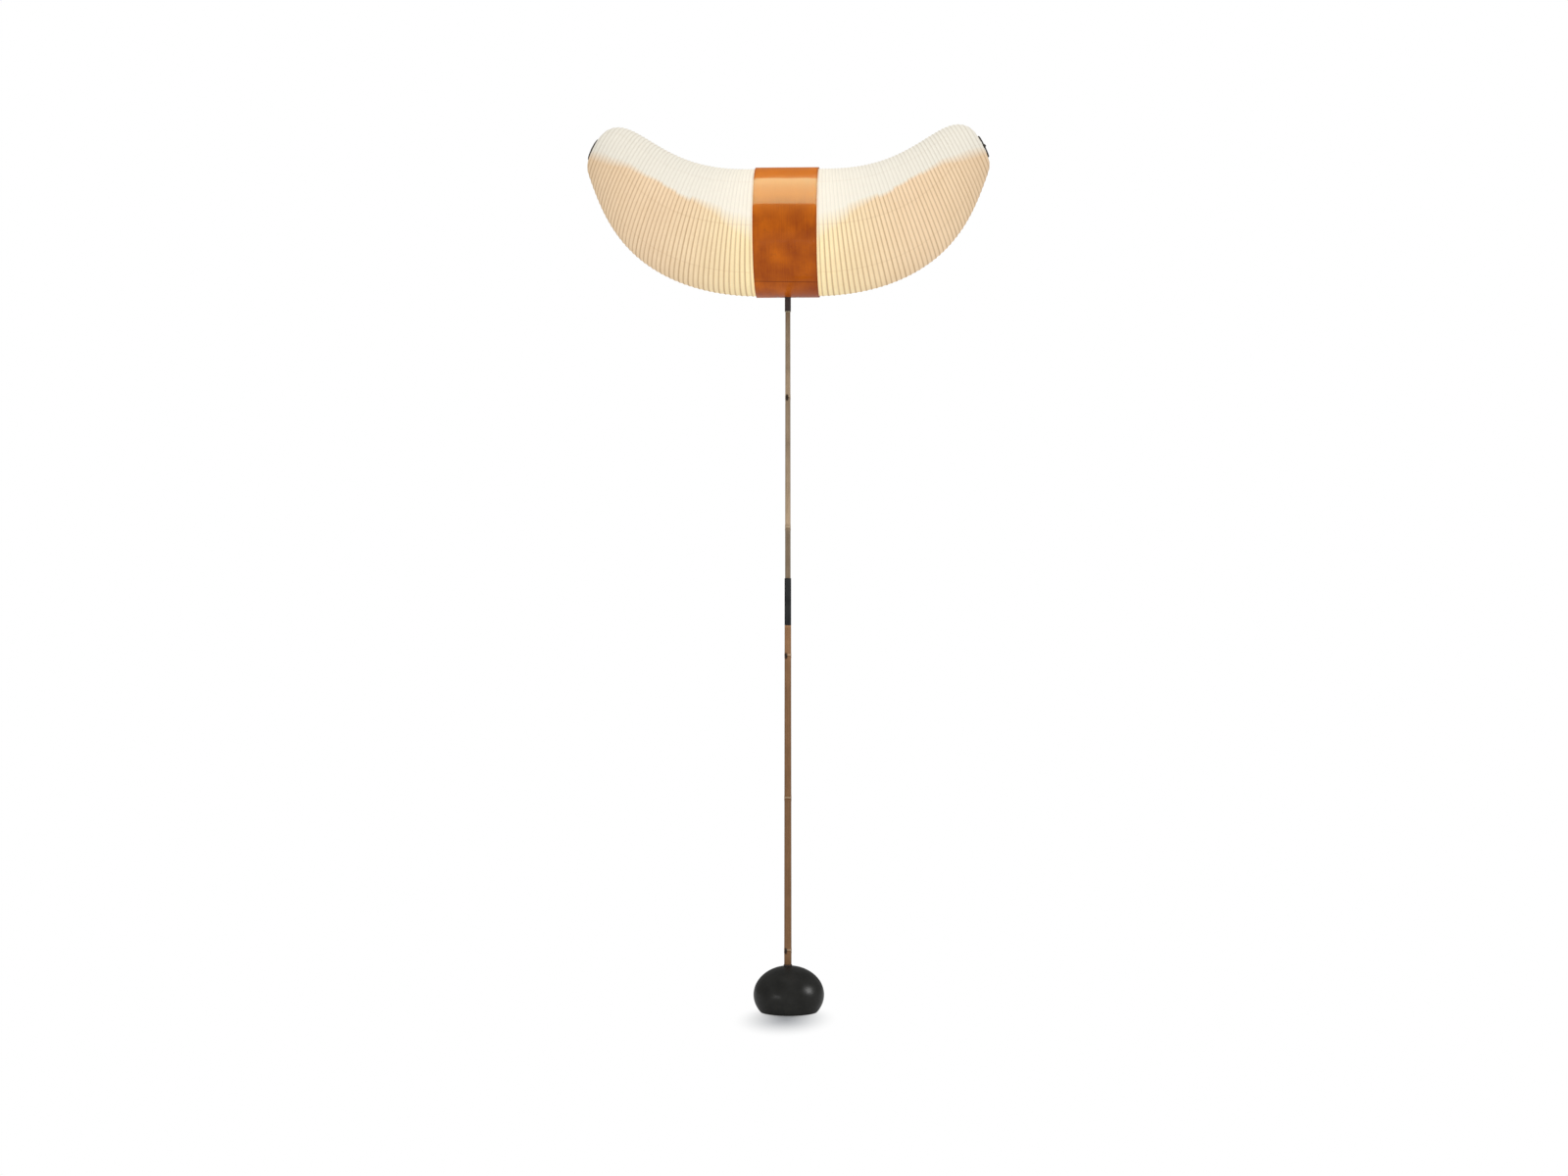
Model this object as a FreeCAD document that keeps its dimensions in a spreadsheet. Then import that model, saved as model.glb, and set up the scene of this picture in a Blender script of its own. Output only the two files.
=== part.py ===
"""Paper lantern floor lamp: a pleated crescent shade in two halves on a bent wooden band,
carried by a two-piece bamboo pole that stands in a hollow cast-iron pebble.

Millimetres, +Z up. The origin is on the floor, on the axis of the pole, and the shade's
two halves point along +X (right) and -X (left).
"""
import FreeCAD, Part
import Sketcher
import math
import os

Vector = FreeCAD.Vector
DOC = FreeCAD.newDocument("paper_lantern_floor_lamp")
SHEET = DOC.addObject("Spreadsheet::Sheet", "Sizes")

# alias, value in mm (or degrees, or a count), what it is
SIZES = [
    # fits
    ("seat_gap", 0.3, "gap between a lifted piece and the seat it stands on"),
    ("running_clearance", 0.05, "radial clearance of a pin in its socket or bush"),
    ("glue_clearance", 0.05, "radial clearance of a glued or screwed joint"),
    ("loose_clearance", 0.35, "radial clearance of a loose sliding eye"),
    # flat sides that stand for roundness
    ("turning_sides", 12.0, "sides of a small turning"),
    ("hoop_sides", 48.0, "sides of the band"),
    ("pebble_sides", 28.0, "sides of the pebble and its pad"),
    ("globe_sides", 16.0, "sides of the bulb's globe"),
    # base
    ("base_radius", 73.6, "widest half width of the pebble"),
    ("base_half_height", 60.0, "half height of the pebble's ellipse"),
    ("base_centre_height", 37.0, "height of the widest level above the floor"),
    ("base_offset", 2.0, "pebble's centre beside the pole's axis"),
    ("base_wall", 14.0, "wall of the hollow casting"),
    ("base_rim_height", 1.2, "casting's lower rim above the floor"),
    ("base_boss_radius", 19.0, "boss that carries the socket"),
    ("base_boss_foot_height", 19.0, "underside of the boss above the floor"),
    ("spot_face_depth", 0.7, "flat under the socket's flange, below the pebble's top"),
    ("foot_pad_radius", 52.0, "rubber pad under the casting"),
    ("foot_pad_thickness", 3.0, "rubber pad under the casting"),
    ("foot_pad_seat_clearance", 0.4, "pad's edge to its recess"),
    ("socket_flange_radius", 9.0, "dark collar on top of the base"),
    ("socket_flange_thickness", 3.2, "dark collar on top of the base"),
    ("socket_tube_radius", 7.0, "socket tube through the boss"),
    ("socket_depth", 58.0, "bore for the pole's foot pin"),
    ("socket_tail_length", 11.0, "threaded tail below the boss"),
    ("washer_radius", 14.0, "washer under the boss"),
    ("washer_thickness", 1.6, "washer under the boss"),
    ("nut_across_corners_radius", 12.0, "hexagon nut under the washer"),
    ("nut_height", 6.5, "hexagon nut under the washer"),
    # lower pole
    ("lower_rod_length", 706.0, "bamboo between the base collar and the sleeve"),
    ("lower_rod_foot_radius", 7.6, "bamboo at the base"),
    ("lower_rod_top_radius", 6.8, "bamboo under the sleeve"),
    ("foot_pin_radius", 4.0, "steel pin in the foot of the pole"),
    ("foot_pin_out", 56.0, "length of the pin below the bamboo"),
    ("foot_pin_in", 45.0, "length of the pin inside the bamboo"),
    ("sleeve_length", 98.0, "black joint sleeve"),
    ("sleeve_radius", 6.9, "black joint sleeve, outside"),
    ("sleeve_bore_radius", 5.9, "black joint sleeve, inside"),
    ("lower_tenon_length", 45.0, "turned end of the lower bamboo in the sleeve"),
    # upper pole
    ("upper_rod_length", 554.0, "bamboo between the sleeve and the swivel"),
    ("upper_rod_foot_radius", 5.75, "bamboo above the sleeve"),
    ("upper_rod_top_radius", 5.2, "bamboo under the swivel"),
    ("top_pin_radius", 3.0, "steel pin in the top of the pole"),
    ("top_pin_in", 48.0, "length of the pin inside the bamboo"),
    ("top_pin_out", 58.0, "length of the pin above the bamboo"),
    # bamboo nodes
    ("node_swell", 0.55, "how far a bamboo node stands out"),
    ("node_half_length", 2.5, "half length of a bamboo node"),
    ("lower_node_a", 28.0, "first node above the lower rod's foot"),
    ("lower_node_b", 345.0, "second node above the lower rod's foot"),
    ("lower_node_c", 642.0, "third node above the lower rod's foot"),
    ("upper_node_a", 104.0, "first node above the sleeve"),
    ("upper_node_b", 376.0, "second node above the sleeve"),
    # swivel
    ("bush_flange_thickness", 1.5, "thrust flange of the swivel bush"),
    ("bush_wall", 1.45, "wall of the swivel bush"),
    ("bush_length", 48.0, "tube of the swivel bush"),
    ("stem_radius", 6.3, "dark stem under the band"),
    ("stem_show", 28.5, "length of stem that shows under the band"),
    ("stem_in_hub", 11.0, "length of stem inside the hub"),
    # band
    ("band_radius", 135.0, "outside of the bent wooden band"),
    ("band_thickness", 2.4, "veneer hoop"),
    ("band_width", 131.0, "veneer hoop, along X"),
    ("saddle_thickness", 2.6, "curved steel saddle in the band"),
    ("saddle_length", 56.0, "saddle along X"),
    ("saddle_width", 44.0, "saddle, front to back"),
    ("saddle_boss_radius", 11.0, "saddle's boss round the stem"),
    ("saddle_boss_height", 20.0, "saddle's boss above its plate"),
    ("band_screw_place", 20.0, "band screws from the stem, along X"),
    ("band_screw_radius", 2.0, "band screw's shank"),
    ("band_screw_head_radius", 4.0, "band screw's sunk head"),
    ("band_screw_head_height", 1.4, "band screw's sunk head"),
    ("grub_screw_radius", 2.0, "grub screws"),
    ("grub_screw_length", 5.0, "grub screws"),
    # arms
    ("hub_width", 18.0, "hub, front to back"),
    ("hub_foot", 28.0, "hub's underside below the band's centre"),
    ("hub_head", 2.0, "hub's top below the band's centre"),
    ("hub_reach", 34.0, "hub's half length along X"),
    ("arm_radius", 1.5, "spring-steel arm wire"),
    ("arm_bend_radius", 833.0, "bend of the arm"),
    ("arm_tip_slope", 40.6, "slope of the arm at its tip, degrees"),
    ("arm_start", 9.0, "inner end of the arm along X"),
    ("arm_steps", 16.0, "straight steps that the arm's bend is made of"),
    ("arm_past_ring", 5.2, "arm beyond the tip ring's centre"),
    ("arm_nut_radius", 2.9, "nut that stops the tip ring"),
    ("arm_nut_length", 2.0, "nut that stops the tip ring"),
    # shade halves
    ("shade_tuck", 4.0, "paper tucked under the band's edge"),
    ("shade_radius", 132.2, "first rib of the shade"),
    ("shade_end_radius", 22.4, "last rib of the shade, at the tip ring"),
    ("shade_tip_reach", 406.5, "tip ring's centre from the pole, along X"),
    ("shade_tip_rise", 175.9, "tip ring's centre above the band's centre"),
    ("shade_root_handle", 260.0, "straightness of the shade's spine at the band"),
    ("shade_tip_handle", 57.0, "straightness of the shade's spine at the tip"),
    ("shade_tip_heading", 5.3, "heading of the spine at the tip, degrees above level"),
    ("shade_taper_start", 1.78, "power that starts the taper"),
    ("shade_taper_end", 2.31, "power that rounds off the tip"),
    ("rib_lean", 26.6, "lean of the last ribs, degrees"),
    ("rib_lean_full_at", 0.95, "share of the spine where the lean is full"),
    ("rib_count", 45.0, "ribs in each half"),
    ("rib_facets", 20.0, "sides of the shade's section"),
    ("pleat_depth", 1.1, "paper drawn in between two ribs"),
    ("paper_wall", 0.6, "thinnest wall of the shade"),
    ("inner_hoop_thickness", 2.0, "bent strip that holds the paper in the band"),
    ("inner_hoop_width", 7.0, "bent strip that holds the paper in the band"),
    ("tip_ring_wire", 1.5, "tip ring's wire"),
    ("tip_ring_radius", 22.9, "tip ring, centre of its wire"),
    ("tip_bar_radius", 1.1, "bar across the tip ring"),
    ("tip_eye_radius", 3.6, "sliding eye on the bar"),
    ("tip_eye_length", 6.0, "sliding eye on the bar"),
    # lead outlet
    ("outlet_angle", 22.5, "lead's outlet behind the stem, degrees round the band"),
    ("outlet_bore_radius", 3.6, "grommet's bore"),
    ("outlet_neck_radius", 5.6, "grommet's neck"),
    ("outlet_flange_radius", 8.0, "grommet's flanges"),
    ("outlet_flange_thickness", 1.3, "grommet's flanges"),
    # lampholder and bulb, heights above the hub's top
    ("nipple_radius", 5.0, "threaded nipple"),
    ("nipple_bore_radius", 3.4, "threaded nipple"),
    ("nipple_in_hub", 5.0, "threaded nipple"),
    ("holder_radius", 13.6, "lampholder"),
    ("holder_wall", 1.8, "lampholder"),
    ("holder_floor", 3.0, "lampholder"),
    ("holder_cap_height", 15.0, "lampholder's lower half"),
    ("holder_skirt_height", 25.0, "lampholder's upper half"),
    ("holder_spigot", 4.0, "skirt's spigot inside the cap"),
    ("gland_radius", 5.2, "lead's inlet on the lampholder"),
    ("gland_reach", 21.0, "lead's inlet on the lampholder"),
    ("insert_radius", 9.4, "ceramic insert"),
    ("insert_height", 8.0, "ceramic insert"),
    ("shell_radius", 8.1, "screw shell"),
    ("shell_wall", 0.6, "screw shell"),
    ("shell_height", 25.0, "screw shell"),
    ("contact_radius", 2.2, "centre contact"),
    ("contact_height", 2.2, "centre contact"),
    ("bulb_cap_radius", 6.95, "bulb's screw cap"),
    ("bulb_cap_height", 22.0, "bulb's screw cap"),
    ("bulb_contact_radius", 3.4, "bulb's end contact"),
    ("bulb_contact_height", 1.6, "bulb's end contact"),
    ("bulb_radius", 22.5, "opal globe"),
    ("bulb_neck_length", 16.0, "neck between cap and globe"),
    ("bulb_collar_length", 5.0, "straight part of the neck, inside the lampholder's mouth"),
    ("bulb_neck_lowest", 50.0, "how far under its middle the ball meets the neck, degrees"),
    ("bulb_glass_wall", 1.0, "opal globe"),
]


def fill_sheet():
    """One row per size: its value as text in column A, its name as the cell's alias."""
    for row, (alias, value, note) in enumerate(SIZES, start=1):
        SHEET.set(f"A{row}", str(value))
        SHEET.setAlias(f"A{row}", alias)
        SHEET.set(f"B{row}", note)
    DOC.recompute()


fill_sheet()


def size(alias):
    """A size read back from the sheet."""
    return float(SHEET.get(alias))


def cells(words):
    """An expression with every bare size name turned into a reference to the sheet."""
    names = {alias for alias, _, _ in SIZES}
    parts = []
    word = ""
    for letter in str(words) + " ":
        if letter.isalnum() or letter == "_":
            word += letter
            continue
        parts.append(f"Sizes.{word}" if word in names else word)
        parts.append(letter)
        word = ""
    return "".join(parts).strip()


def value(words):
    """What an expression comes to now."""
    return float(SHEET.evalExpression(cells(words)))


# heights above the floor, written as sums of the sizes
RIM = "base_rim_height"
BASE_TOP = "(base_centre_height + base_half_height - spot_face_depth)"
COLLAR_TOP = f"({BASE_TOP} + socket_flange_thickness)"
LOWER_FOOT = f"({COLLAR_TOP} + seat_gap)"
SLEEVE_FOOT = f"({LOWER_FOOT} + lower_rod_length)"
LOWER_TOP = f"({SLEEVE_FOOT} + lower_tenon_length)"
SLEEVE_TOP = f"({SLEEVE_FOOT} + sleeve_length)"
UPPER_TOP = f"({SLEEVE_TOP} + upper_rod_length)"
BUSH_FOOT = f"({UPPER_TOP} + seat_gap)"
BUSH_FACE = f"({BUSH_FOOT} + bush_flange_thickness)"
STEM_FOOT = f"({BUSH_FACE} + seat_gap)"
HEAD = f"({STEM_FOOT} + stem_show + band_radius)"
HUB_TOP = f"({HEAD} - hub_head)"

# flat steps that stand for curves
PEBBLE_STEPS = 10
HOLLOW_STEPS = 5
GLOBE_STEPS = 5
WIRE_SIDES = 6
SPINE_STEPS = 400
INNER_EVERY = 6

PARTS = {}


def keep(node, shape_object):
    """Gives a finished sub-part its name."""
    shape_object.Label = node
    PARTS[node] = shape_object
    return shape_object


def bind(thing, **expressions):
    """Binds properties to the sheet; a double underscore stands for a dot."""
    for name, words in expressions.items():
        thing.setExpression(name.replace("__", "."), cells(words))
    return thing


def place(thing, x=None, y=None, z=None, axis=None, turn=None):
    """Turns an object about an axis through its own origin and puts that origin at x, y, z."""
    if axis is not None:
        thing.Placement = FreeCAD.Placement(Vector(0, 0, 0), FreeCAD.Rotation(axis, turn))
    for letter, words in (("x", x), ("y", y), ("z", z)):
        if words is not None:
            thing.setExpression(f"Placement.Base.{letter}", cells(words))
    return thing


def plane_of(body, role):
    """One of the body's own origin planes."""
    return next(item for item in body.Origin.OriginFeatures if item.Role == role)


def turned(name, corners, z="0"):
    """A body revolved about Z from a closed outline; each corner is (radius, height)."""
    body = DOC.addObject("PartDesign::Body", name)
    sketch = body.newObject("Sketcher::SketchObject", f"{name}_outline")
    sketch.AttachmentSupport = (plane_of(body, "XZ_Plane"), [""])
    sketch.MapMode = "FlatFace"
    spots = [(value(r), value(h)) for r, h in corners]
    count = len(spots)
    for index, (r, h) in enumerate(spots):
        following = spots[(index + 1) % count]
        sketch.addGeometry(Part.LineSegment(Vector(r, h, 0), Vector(following[0], following[1], 0)))
    for index, (r_words, h_words) in enumerate(corners):
        sketch.addConstraint(Sketcher.Constraint("Coincident", index, 2, (index + 1) % count, 1))
        radius, height = spots[index]
        for kind, start, words in (("DistanceX", radius, r_words), ("DistanceY", height, h_words)):
            number = sketch.addConstraint(Sketcher.Constraint(kind, -1, 1, index, 1, start))
            sketch.setExpression(f"Constraints[{number}]", cells(words))
    revolution = body.newObject("PartDesign::Revolution", f"{name}_turned")
    revolution.Profile = sketch
    revolution.ReferenceAxis = (sketch, ["V_Axis"])
    revolution.Angle = 360
    body.Tip = revolution
    place(body, z=z)
    return body


def bore(name, radius, low, high, x="0", y="0"):
    """A round upright hole, or a round pin, between two heights."""
    cylinder = DOC.addObject("Part::Cylinder", name)
    bind(cylinder, Radius=radius, Height=f"({high}) - ({low})")
    return place(cylinder, x=x, y=y, z=low)


def drum(name, radius, low, high, x="0", y="0", sides="turning_sides"):
    """An upright turning with flat sides, between two heights."""
    prism = DOC.addObject("Part::Prism", name)
    bind(prism, Polygon=sides, Circumradius=radius, Height=f"({high}) - ({low})")
    return place(prism, x=x, y=y, z=low)


def around(radius):
    """Corner radius of a flat-sided hole whose flats clear a round piece of this radius."""
    return f"(({radius}) / cos(180 deg / turning_sides))"


def ring(name, outer, inner, low, high):
    """A washer or tube with flat sides."""
    hole = drum(f"{name}_hole", inner, f"{low} - seat_gap", f"{high} + seat_gap")
    return cut(name, drum(f"{name}_disc", outer, low, high), [hole])


def lying_bore(name, radius, length, axis, turn, x="0", y="0", z="0"):
    """A round hole or pin turned about an axis, from its foot at x, y, z."""
    cylinder = DOC.addObject("Part::Cylinder", name)
    bind(cylinder, Radius=radius, Height=length)
    return place(cylinder, x, y, z, axis, turn)


def lying_drum(name, radius, length, axis, turn, x="0", y="0", z="0", sides="turning_sides"):
    """A flat-sided turning turned about an axis, from its foot at x, y, z."""
    prism = DOC.addObject("Part::Prism", name)
    bind(prism, Polygon=sides, Circumradius=radius, Height=length)
    return place(prism, x, y, z, axis, turn)


def joined(name, pieces):
    """Pieces made into one."""
    fusion = DOC.addObject("Part::MultiFuse", name)
    fusion.Shapes = pieces
    fusion.Refine = True
    return fusion


def cut(name, base, tools):
    """A base with the tools taken out of it."""
    difference = DOC.addObject("Part::Cut", name)
    difference.Base = base
    difference.Tool = tools[0] if len(tools) == 1 else joined(f"{name}_tools", tools)
    return difference


def common(name, first, second):
    """What two shapes share."""
    shared = DOC.addObject("Part::Common", name)
    shared.Base = first
    shared.Tool = second
    return shared


def mirrored(name, source):
    """The same piece on the other side of the pole, across the YZ plane."""
    mirror = DOC.addObject("Part::Mirroring", name)
    mirror.Source = source
    mirror.Normal = Vector(1, 0, 0)
    mirror.Base = Vector(0, 0, 0)
    return mirror


def tube(name, outer, inner, low, high):
    """A plain turned tube."""
    return turned(name, [(inner, low), (outer, low), (outer, high), (inner, high)])


def skin_faces(first, second):
    """Flat triangles between two rings of corners, seen from outside with the first ring below."""
    faces = []
    count = len(first)
    for index in range(count):
        following = (index + 1) % count
        for trio in (
            (first[index], first[following], second[following]),
            (first[index], second[following], second[index]),
        ):
            if trio[0].distanceToPoint(trio[1]) > 1e-6 and trio[1].distanceToPoint(trio[2]) > 1e-6:
                faces.append(Part.Face(Part.makePolygon([*trio, trio[0]])))
    return faces


def solid_of(faces):
    """A closed skin made into a solid with its faces outward."""
    solid = Part.Solid(Part.makeShell(faces))
    if solid.Volume < 0:
        solid.reverse()
    return solid


def feature(name, shape):
    """A shape worked out in code, as an object of the document."""
    thing = DOC.addObject("Part::Feature", name)
    thing.Shape = shape
    return thing


def faceted(name, corners, sides, closed=False):
    """A turning with flat sides, through (radius, height) corners from its foot to its top."""
    rings = []
    for radius, height in corners:
        ring = []
        for side in range(sides):
            angle = 2 * math.pi * side / sides
            ring.append(Vector(radius * math.cos(angle), radius * math.sin(angle), height))
        rings.append(ring)
    faces = []
    for first, second in zip(rings, rings[1:] + (rings[:1] if closed else [])):
        faces += skin_faces(first, second)
    if not closed:
        for ring in (rings[0], rings[-1]):
            if ring[0].distanceToPoint(ring[1]) > 1e-6:
                faces.append(Part.Face(Part.makePolygon([*ring, ring[0]])))
    return feature(name, solid_of(faces))


def wire_loop(name, sections, closed):
    """A wire with flat sides through rings of corners, closed on itself or capped."""
    faces = []
    for first, second in zip(sections, sections[1:] + (sections[:1] if closed else [])):
        faces += skin_faces(first, second)
    if not closed:
        for ring in (sections[0], sections[-1]):
            faces.append(Part.Face(Part.makePolygon([*ring, ring[0]])))
    return feature(name, solid_of(faces))


def wire_section(centre, inward, across, radius, sides):
    """Corners of a wire's section about its centre line."""
    corners = []
    for side in range(sides):
        angle = 2 * math.pi * side / sides
        corners.append(centre + inward * (radius * math.cos(angle)) + across * (radius * math.sin(angle)))
    return corners


# ---------------------------------------------------------------- base

def pebble_arc(wall, steps):
    """Ellipse of the pebble's section, drawn in by a wall, from its rim up to the top."""
    reach = size("base_radius") - wall
    rise = size("base_half_height") - wall
    centre = size("base_centre_height")
    bottom = math.asin((size("base_rim_height") - centre) / rise)
    corners = []
    for step in range(steps + 1):
        angle = bottom + (math.pi / 2 - bottom) * step / steps
        across = reach * math.cos(angle) if step < steps else 0.0
        corners.append((across, centre + rise * math.sin(angle)))
    return corners


def make_base():
    pebble = faceted("pebble", pebble_arc(0.0, PEBBLE_STEPS), int(size("pebble_sides")))
    place(pebble, x="base_offset")
    inside = pebble_arc(size("base_wall"), HOLLOW_STEPS)
    hollow = faceted("pebble_hollow", inside, int(size("pebble_sides") / 2))
    place(hollow, x="base_offset")
    boss = drum("pebble_boss", "base_boss_radius", "base_boss_foot_height", BASE_TOP)
    cavity = cut("pebble_cavity", hollow, [boss])
    recess = drum(
        "pad_recess", "foot_pad_radius + foot_pad_seat_clearance", "0", "foot_pad_thickness",
        x="base_offset", sides="pebble_sides",
    )
    spot_face = drum(
        "spot_face", "socket_flange_radius + foot_pad_seat_clearance", BASE_TOP, f"{BASE_TOP} + base_wall"
    )
    hole = bore("socket_hole", "socket_tube_radius + glue_clearance", "0", f"{BASE_TOP} + base_wall")
    keep("base_casting", cut("casting", pebble, [cavity, recess, spot_face, hole]))

    pad = drum("foot_pad", "foot_pad_radius", "0", "foot_pad_thickness", sides="pebble_sides")
    keep("base_foot_pad", place(pad, x="base_offset"))

    tail = "base_boss_foot_height - socket_tail_length"
    bore_floor = f"{COLLAR_TOP} - socket_depth"
    bore_radius = "foot_pin_radius + running_clearance"
    socket = turned("socket", [
        ("0", tail),
        ("socket_tube_radius", tail),
        ("socket_tube_radius", BASE_TOP),
        ("socket_flange_radius", BASE_TOP),
        ("socket_flange_radius", COLLAR_TOP),
        (bore_radius, COLLAR_TOP),
        (bore_radius, bore_floor),
        ("0", bore_floor),
    ])
    keep("base_socket", socket)

    thread_clear = "socket_tube_radius + glue_clearance"
    under = "base_boss_foot_height - washer_thickness"
    washer = drum("washer_disc", "washer_radius", under, "base_boss_foot_height")
    washer_hole = drum("washer_hole", around(thread_clear), "0", "base_centre_height")
    keep("socket_washer", cut("washer", washer, [washer_hole]))

    hexagon = drum("nut_blank", "nut_across_corners_radius", f"{under} - nut_height", under, sides="6")
    nut_hole = drum("nut_hole", around(thread_clear), "0", "base_centre_height")
    keep("socket_nut", cut("nut", hexagon, [nut_hole]))


# ---------------------------------------------------------------- bamboo pole

def cane(foot, top, foot_radius, top_radius, nodes):
    """Outside of a bamboo cane from foot to top: even internodes that step in, parted by nodes."""
    def at(height):
        return f"({foot_radius} + ({top_radius} - {foot_radius}) * ({height} - {foot}) / ({top} - {foot}))"

    corners = []
    start = foot
    for node in nodes:
        middle = f"({foot} + {node})"
        radius = at(f"({start} + {middle}) / 2")
        below = f"({middle} - node_half_length)"
        above = f"({middle} + node_half_length)"
        corners += [(radius, start), (radius, below)]
        corners += [(f"{radius} + node_swell", below), (f"{radius} + node_swell", above)]
        start = above
    radius = at(f"({start} + {top}) / 2")
    corners += [(radius, start), (radius, top)]
    return corners


def make_lower_pole():
    pin_hole = "foot_pin_radius + glue_clearance"
    hole_top = f"{LOWER_FOOT} + foot_pin_in + seat_gap"
    nodes = ("lower_node_a", "lower_node_b", "lower_node_c")
    outline = cane(LOWER_FOOT, SLEEVE_FOOT, "lower_rod_foot_radius", "lower_rod_top_radius", nodes)
    tenon = "sleeve_bore_radius - glue_clearance"
    rod = turned("lower_cane", [
        (pin_hole, LOWER_FOOT),
        *outline,
        (tenon, SLEEVE_FOOT),
        (tenon, LOWER_TOP),
        ("0", LOWER_TOP),
        ("0", hole_top),
        (pin_hole, hole_top),
    ])
    keep("lower_rod", rod)
    low = f"{LOWER_FOOT} - foot_pin_out"
    keep("foot_pin", bore("lower_pin", "foot_pin_radius", low, f"{LOWER_FOOT} + foot_pin_in"))
    sleeve = tube("sleeve", "sleeve_radius", "sleeve_bore_radius", SLEEVE_FOOT, SLEEVE_TOP)
    keep("joint_sleeve", sleeve)


def make_upper_pole():
    pin_hole = "top_pin_radius + glue_clearance"
    hole_foot = f"{UPPER_TOP} - top_pin_in - seat_gap"
    tenon = "sleeve_bore_radius - running_clearance"
    tenon_foot = f"{LOWER_TOP} + seat_gap"
    nodes = ("upper_node_a", "upper_node_b")
    outline = cane(SLEEVE_TOP, UPPER_TOP, "upper_rod_foot_radius", "upper_rod_top_radius", nodes)
    rod = turned("upper_cane", [
        ("0", tenon_foot),
        (tenon, tenon_foot),
        (tenon, SLEEVE_TOP),
        *outline,
        (pin_hole, UPPER_TOP),
        (pin_hole, hole_foot),
        ("0", hole_foot),
    ])
    keep("upper_rod", rod)
    high = f"{UPPER_TOP} + top_pin_out"
    keep("top_pin", bore("upper_pin", "top_pin_radius", f"{UPPER_TOP} - top_pin_in", high))


# ---------------------------------------------------------------- swivel, stem and band

def make_swivel():
    inside = "top_pin_radius + running_clearance"
    outside = "top_pin_radius + bush_wall"
    bush = turned("bush", [
        (inside, BUSH_FOOT),
        ("stem_radius", BUSH_FOOT),
        ("stem_radius", BUSH_FACE),
        (outside, BUSH_FACE),
        (outside, f"{BUSH_FACE} + bush_length"),
        (inside, f"{BUSH_FACE} + bush_length"),
    ])
    keep("swivel_bush", bush)
    stem_bore = "top_pin_radius + bush_wall + running_clearance"
    stem_top = f"{HEAD} - hub_foot + stem_in_hub"
    keep("head_stem", tube("stem", "stem_radius", stem_bore, STEM_FOOT, stem_top))


def hoop(name, outer, inner, width):
    """A hoop about the X axis, with a flat side at its lowest point."""
    half_side = 180 / value("hoop_sides")
    rims = []
    for label, radius in ((f"{name}_outside", outer), (f"{name}_inside", inner)):
        rim = DOC.addObject("Part::Prism", label)
        bind(rim, Polygon="hoop_sides", Circumradius=radius, Height=width)
        turn = FreeCAD.Rotation(Vector(0, 1, 0), 90) * FreeCAD.Rotation(Vector(0, 0, 1), half_side)
        rim.Placement = FreeCAD.Placement(Vector(0, 0, 0), turn)
        rims.append(place(rim, x=f"-({width}) / 2", z=HEAD))
    return cut(name, rims[0], [rims[1]])


def outlet_place(radius):
    """A point round the band behind the stem, as expressions for y and z."""
    y = f"({radius}) * sin(outlet_angle * 1 deg)"
    z = f"{HEAD} - ({radius}) * cos(outlet_angle * 1 deg)"
    return y, z


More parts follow.
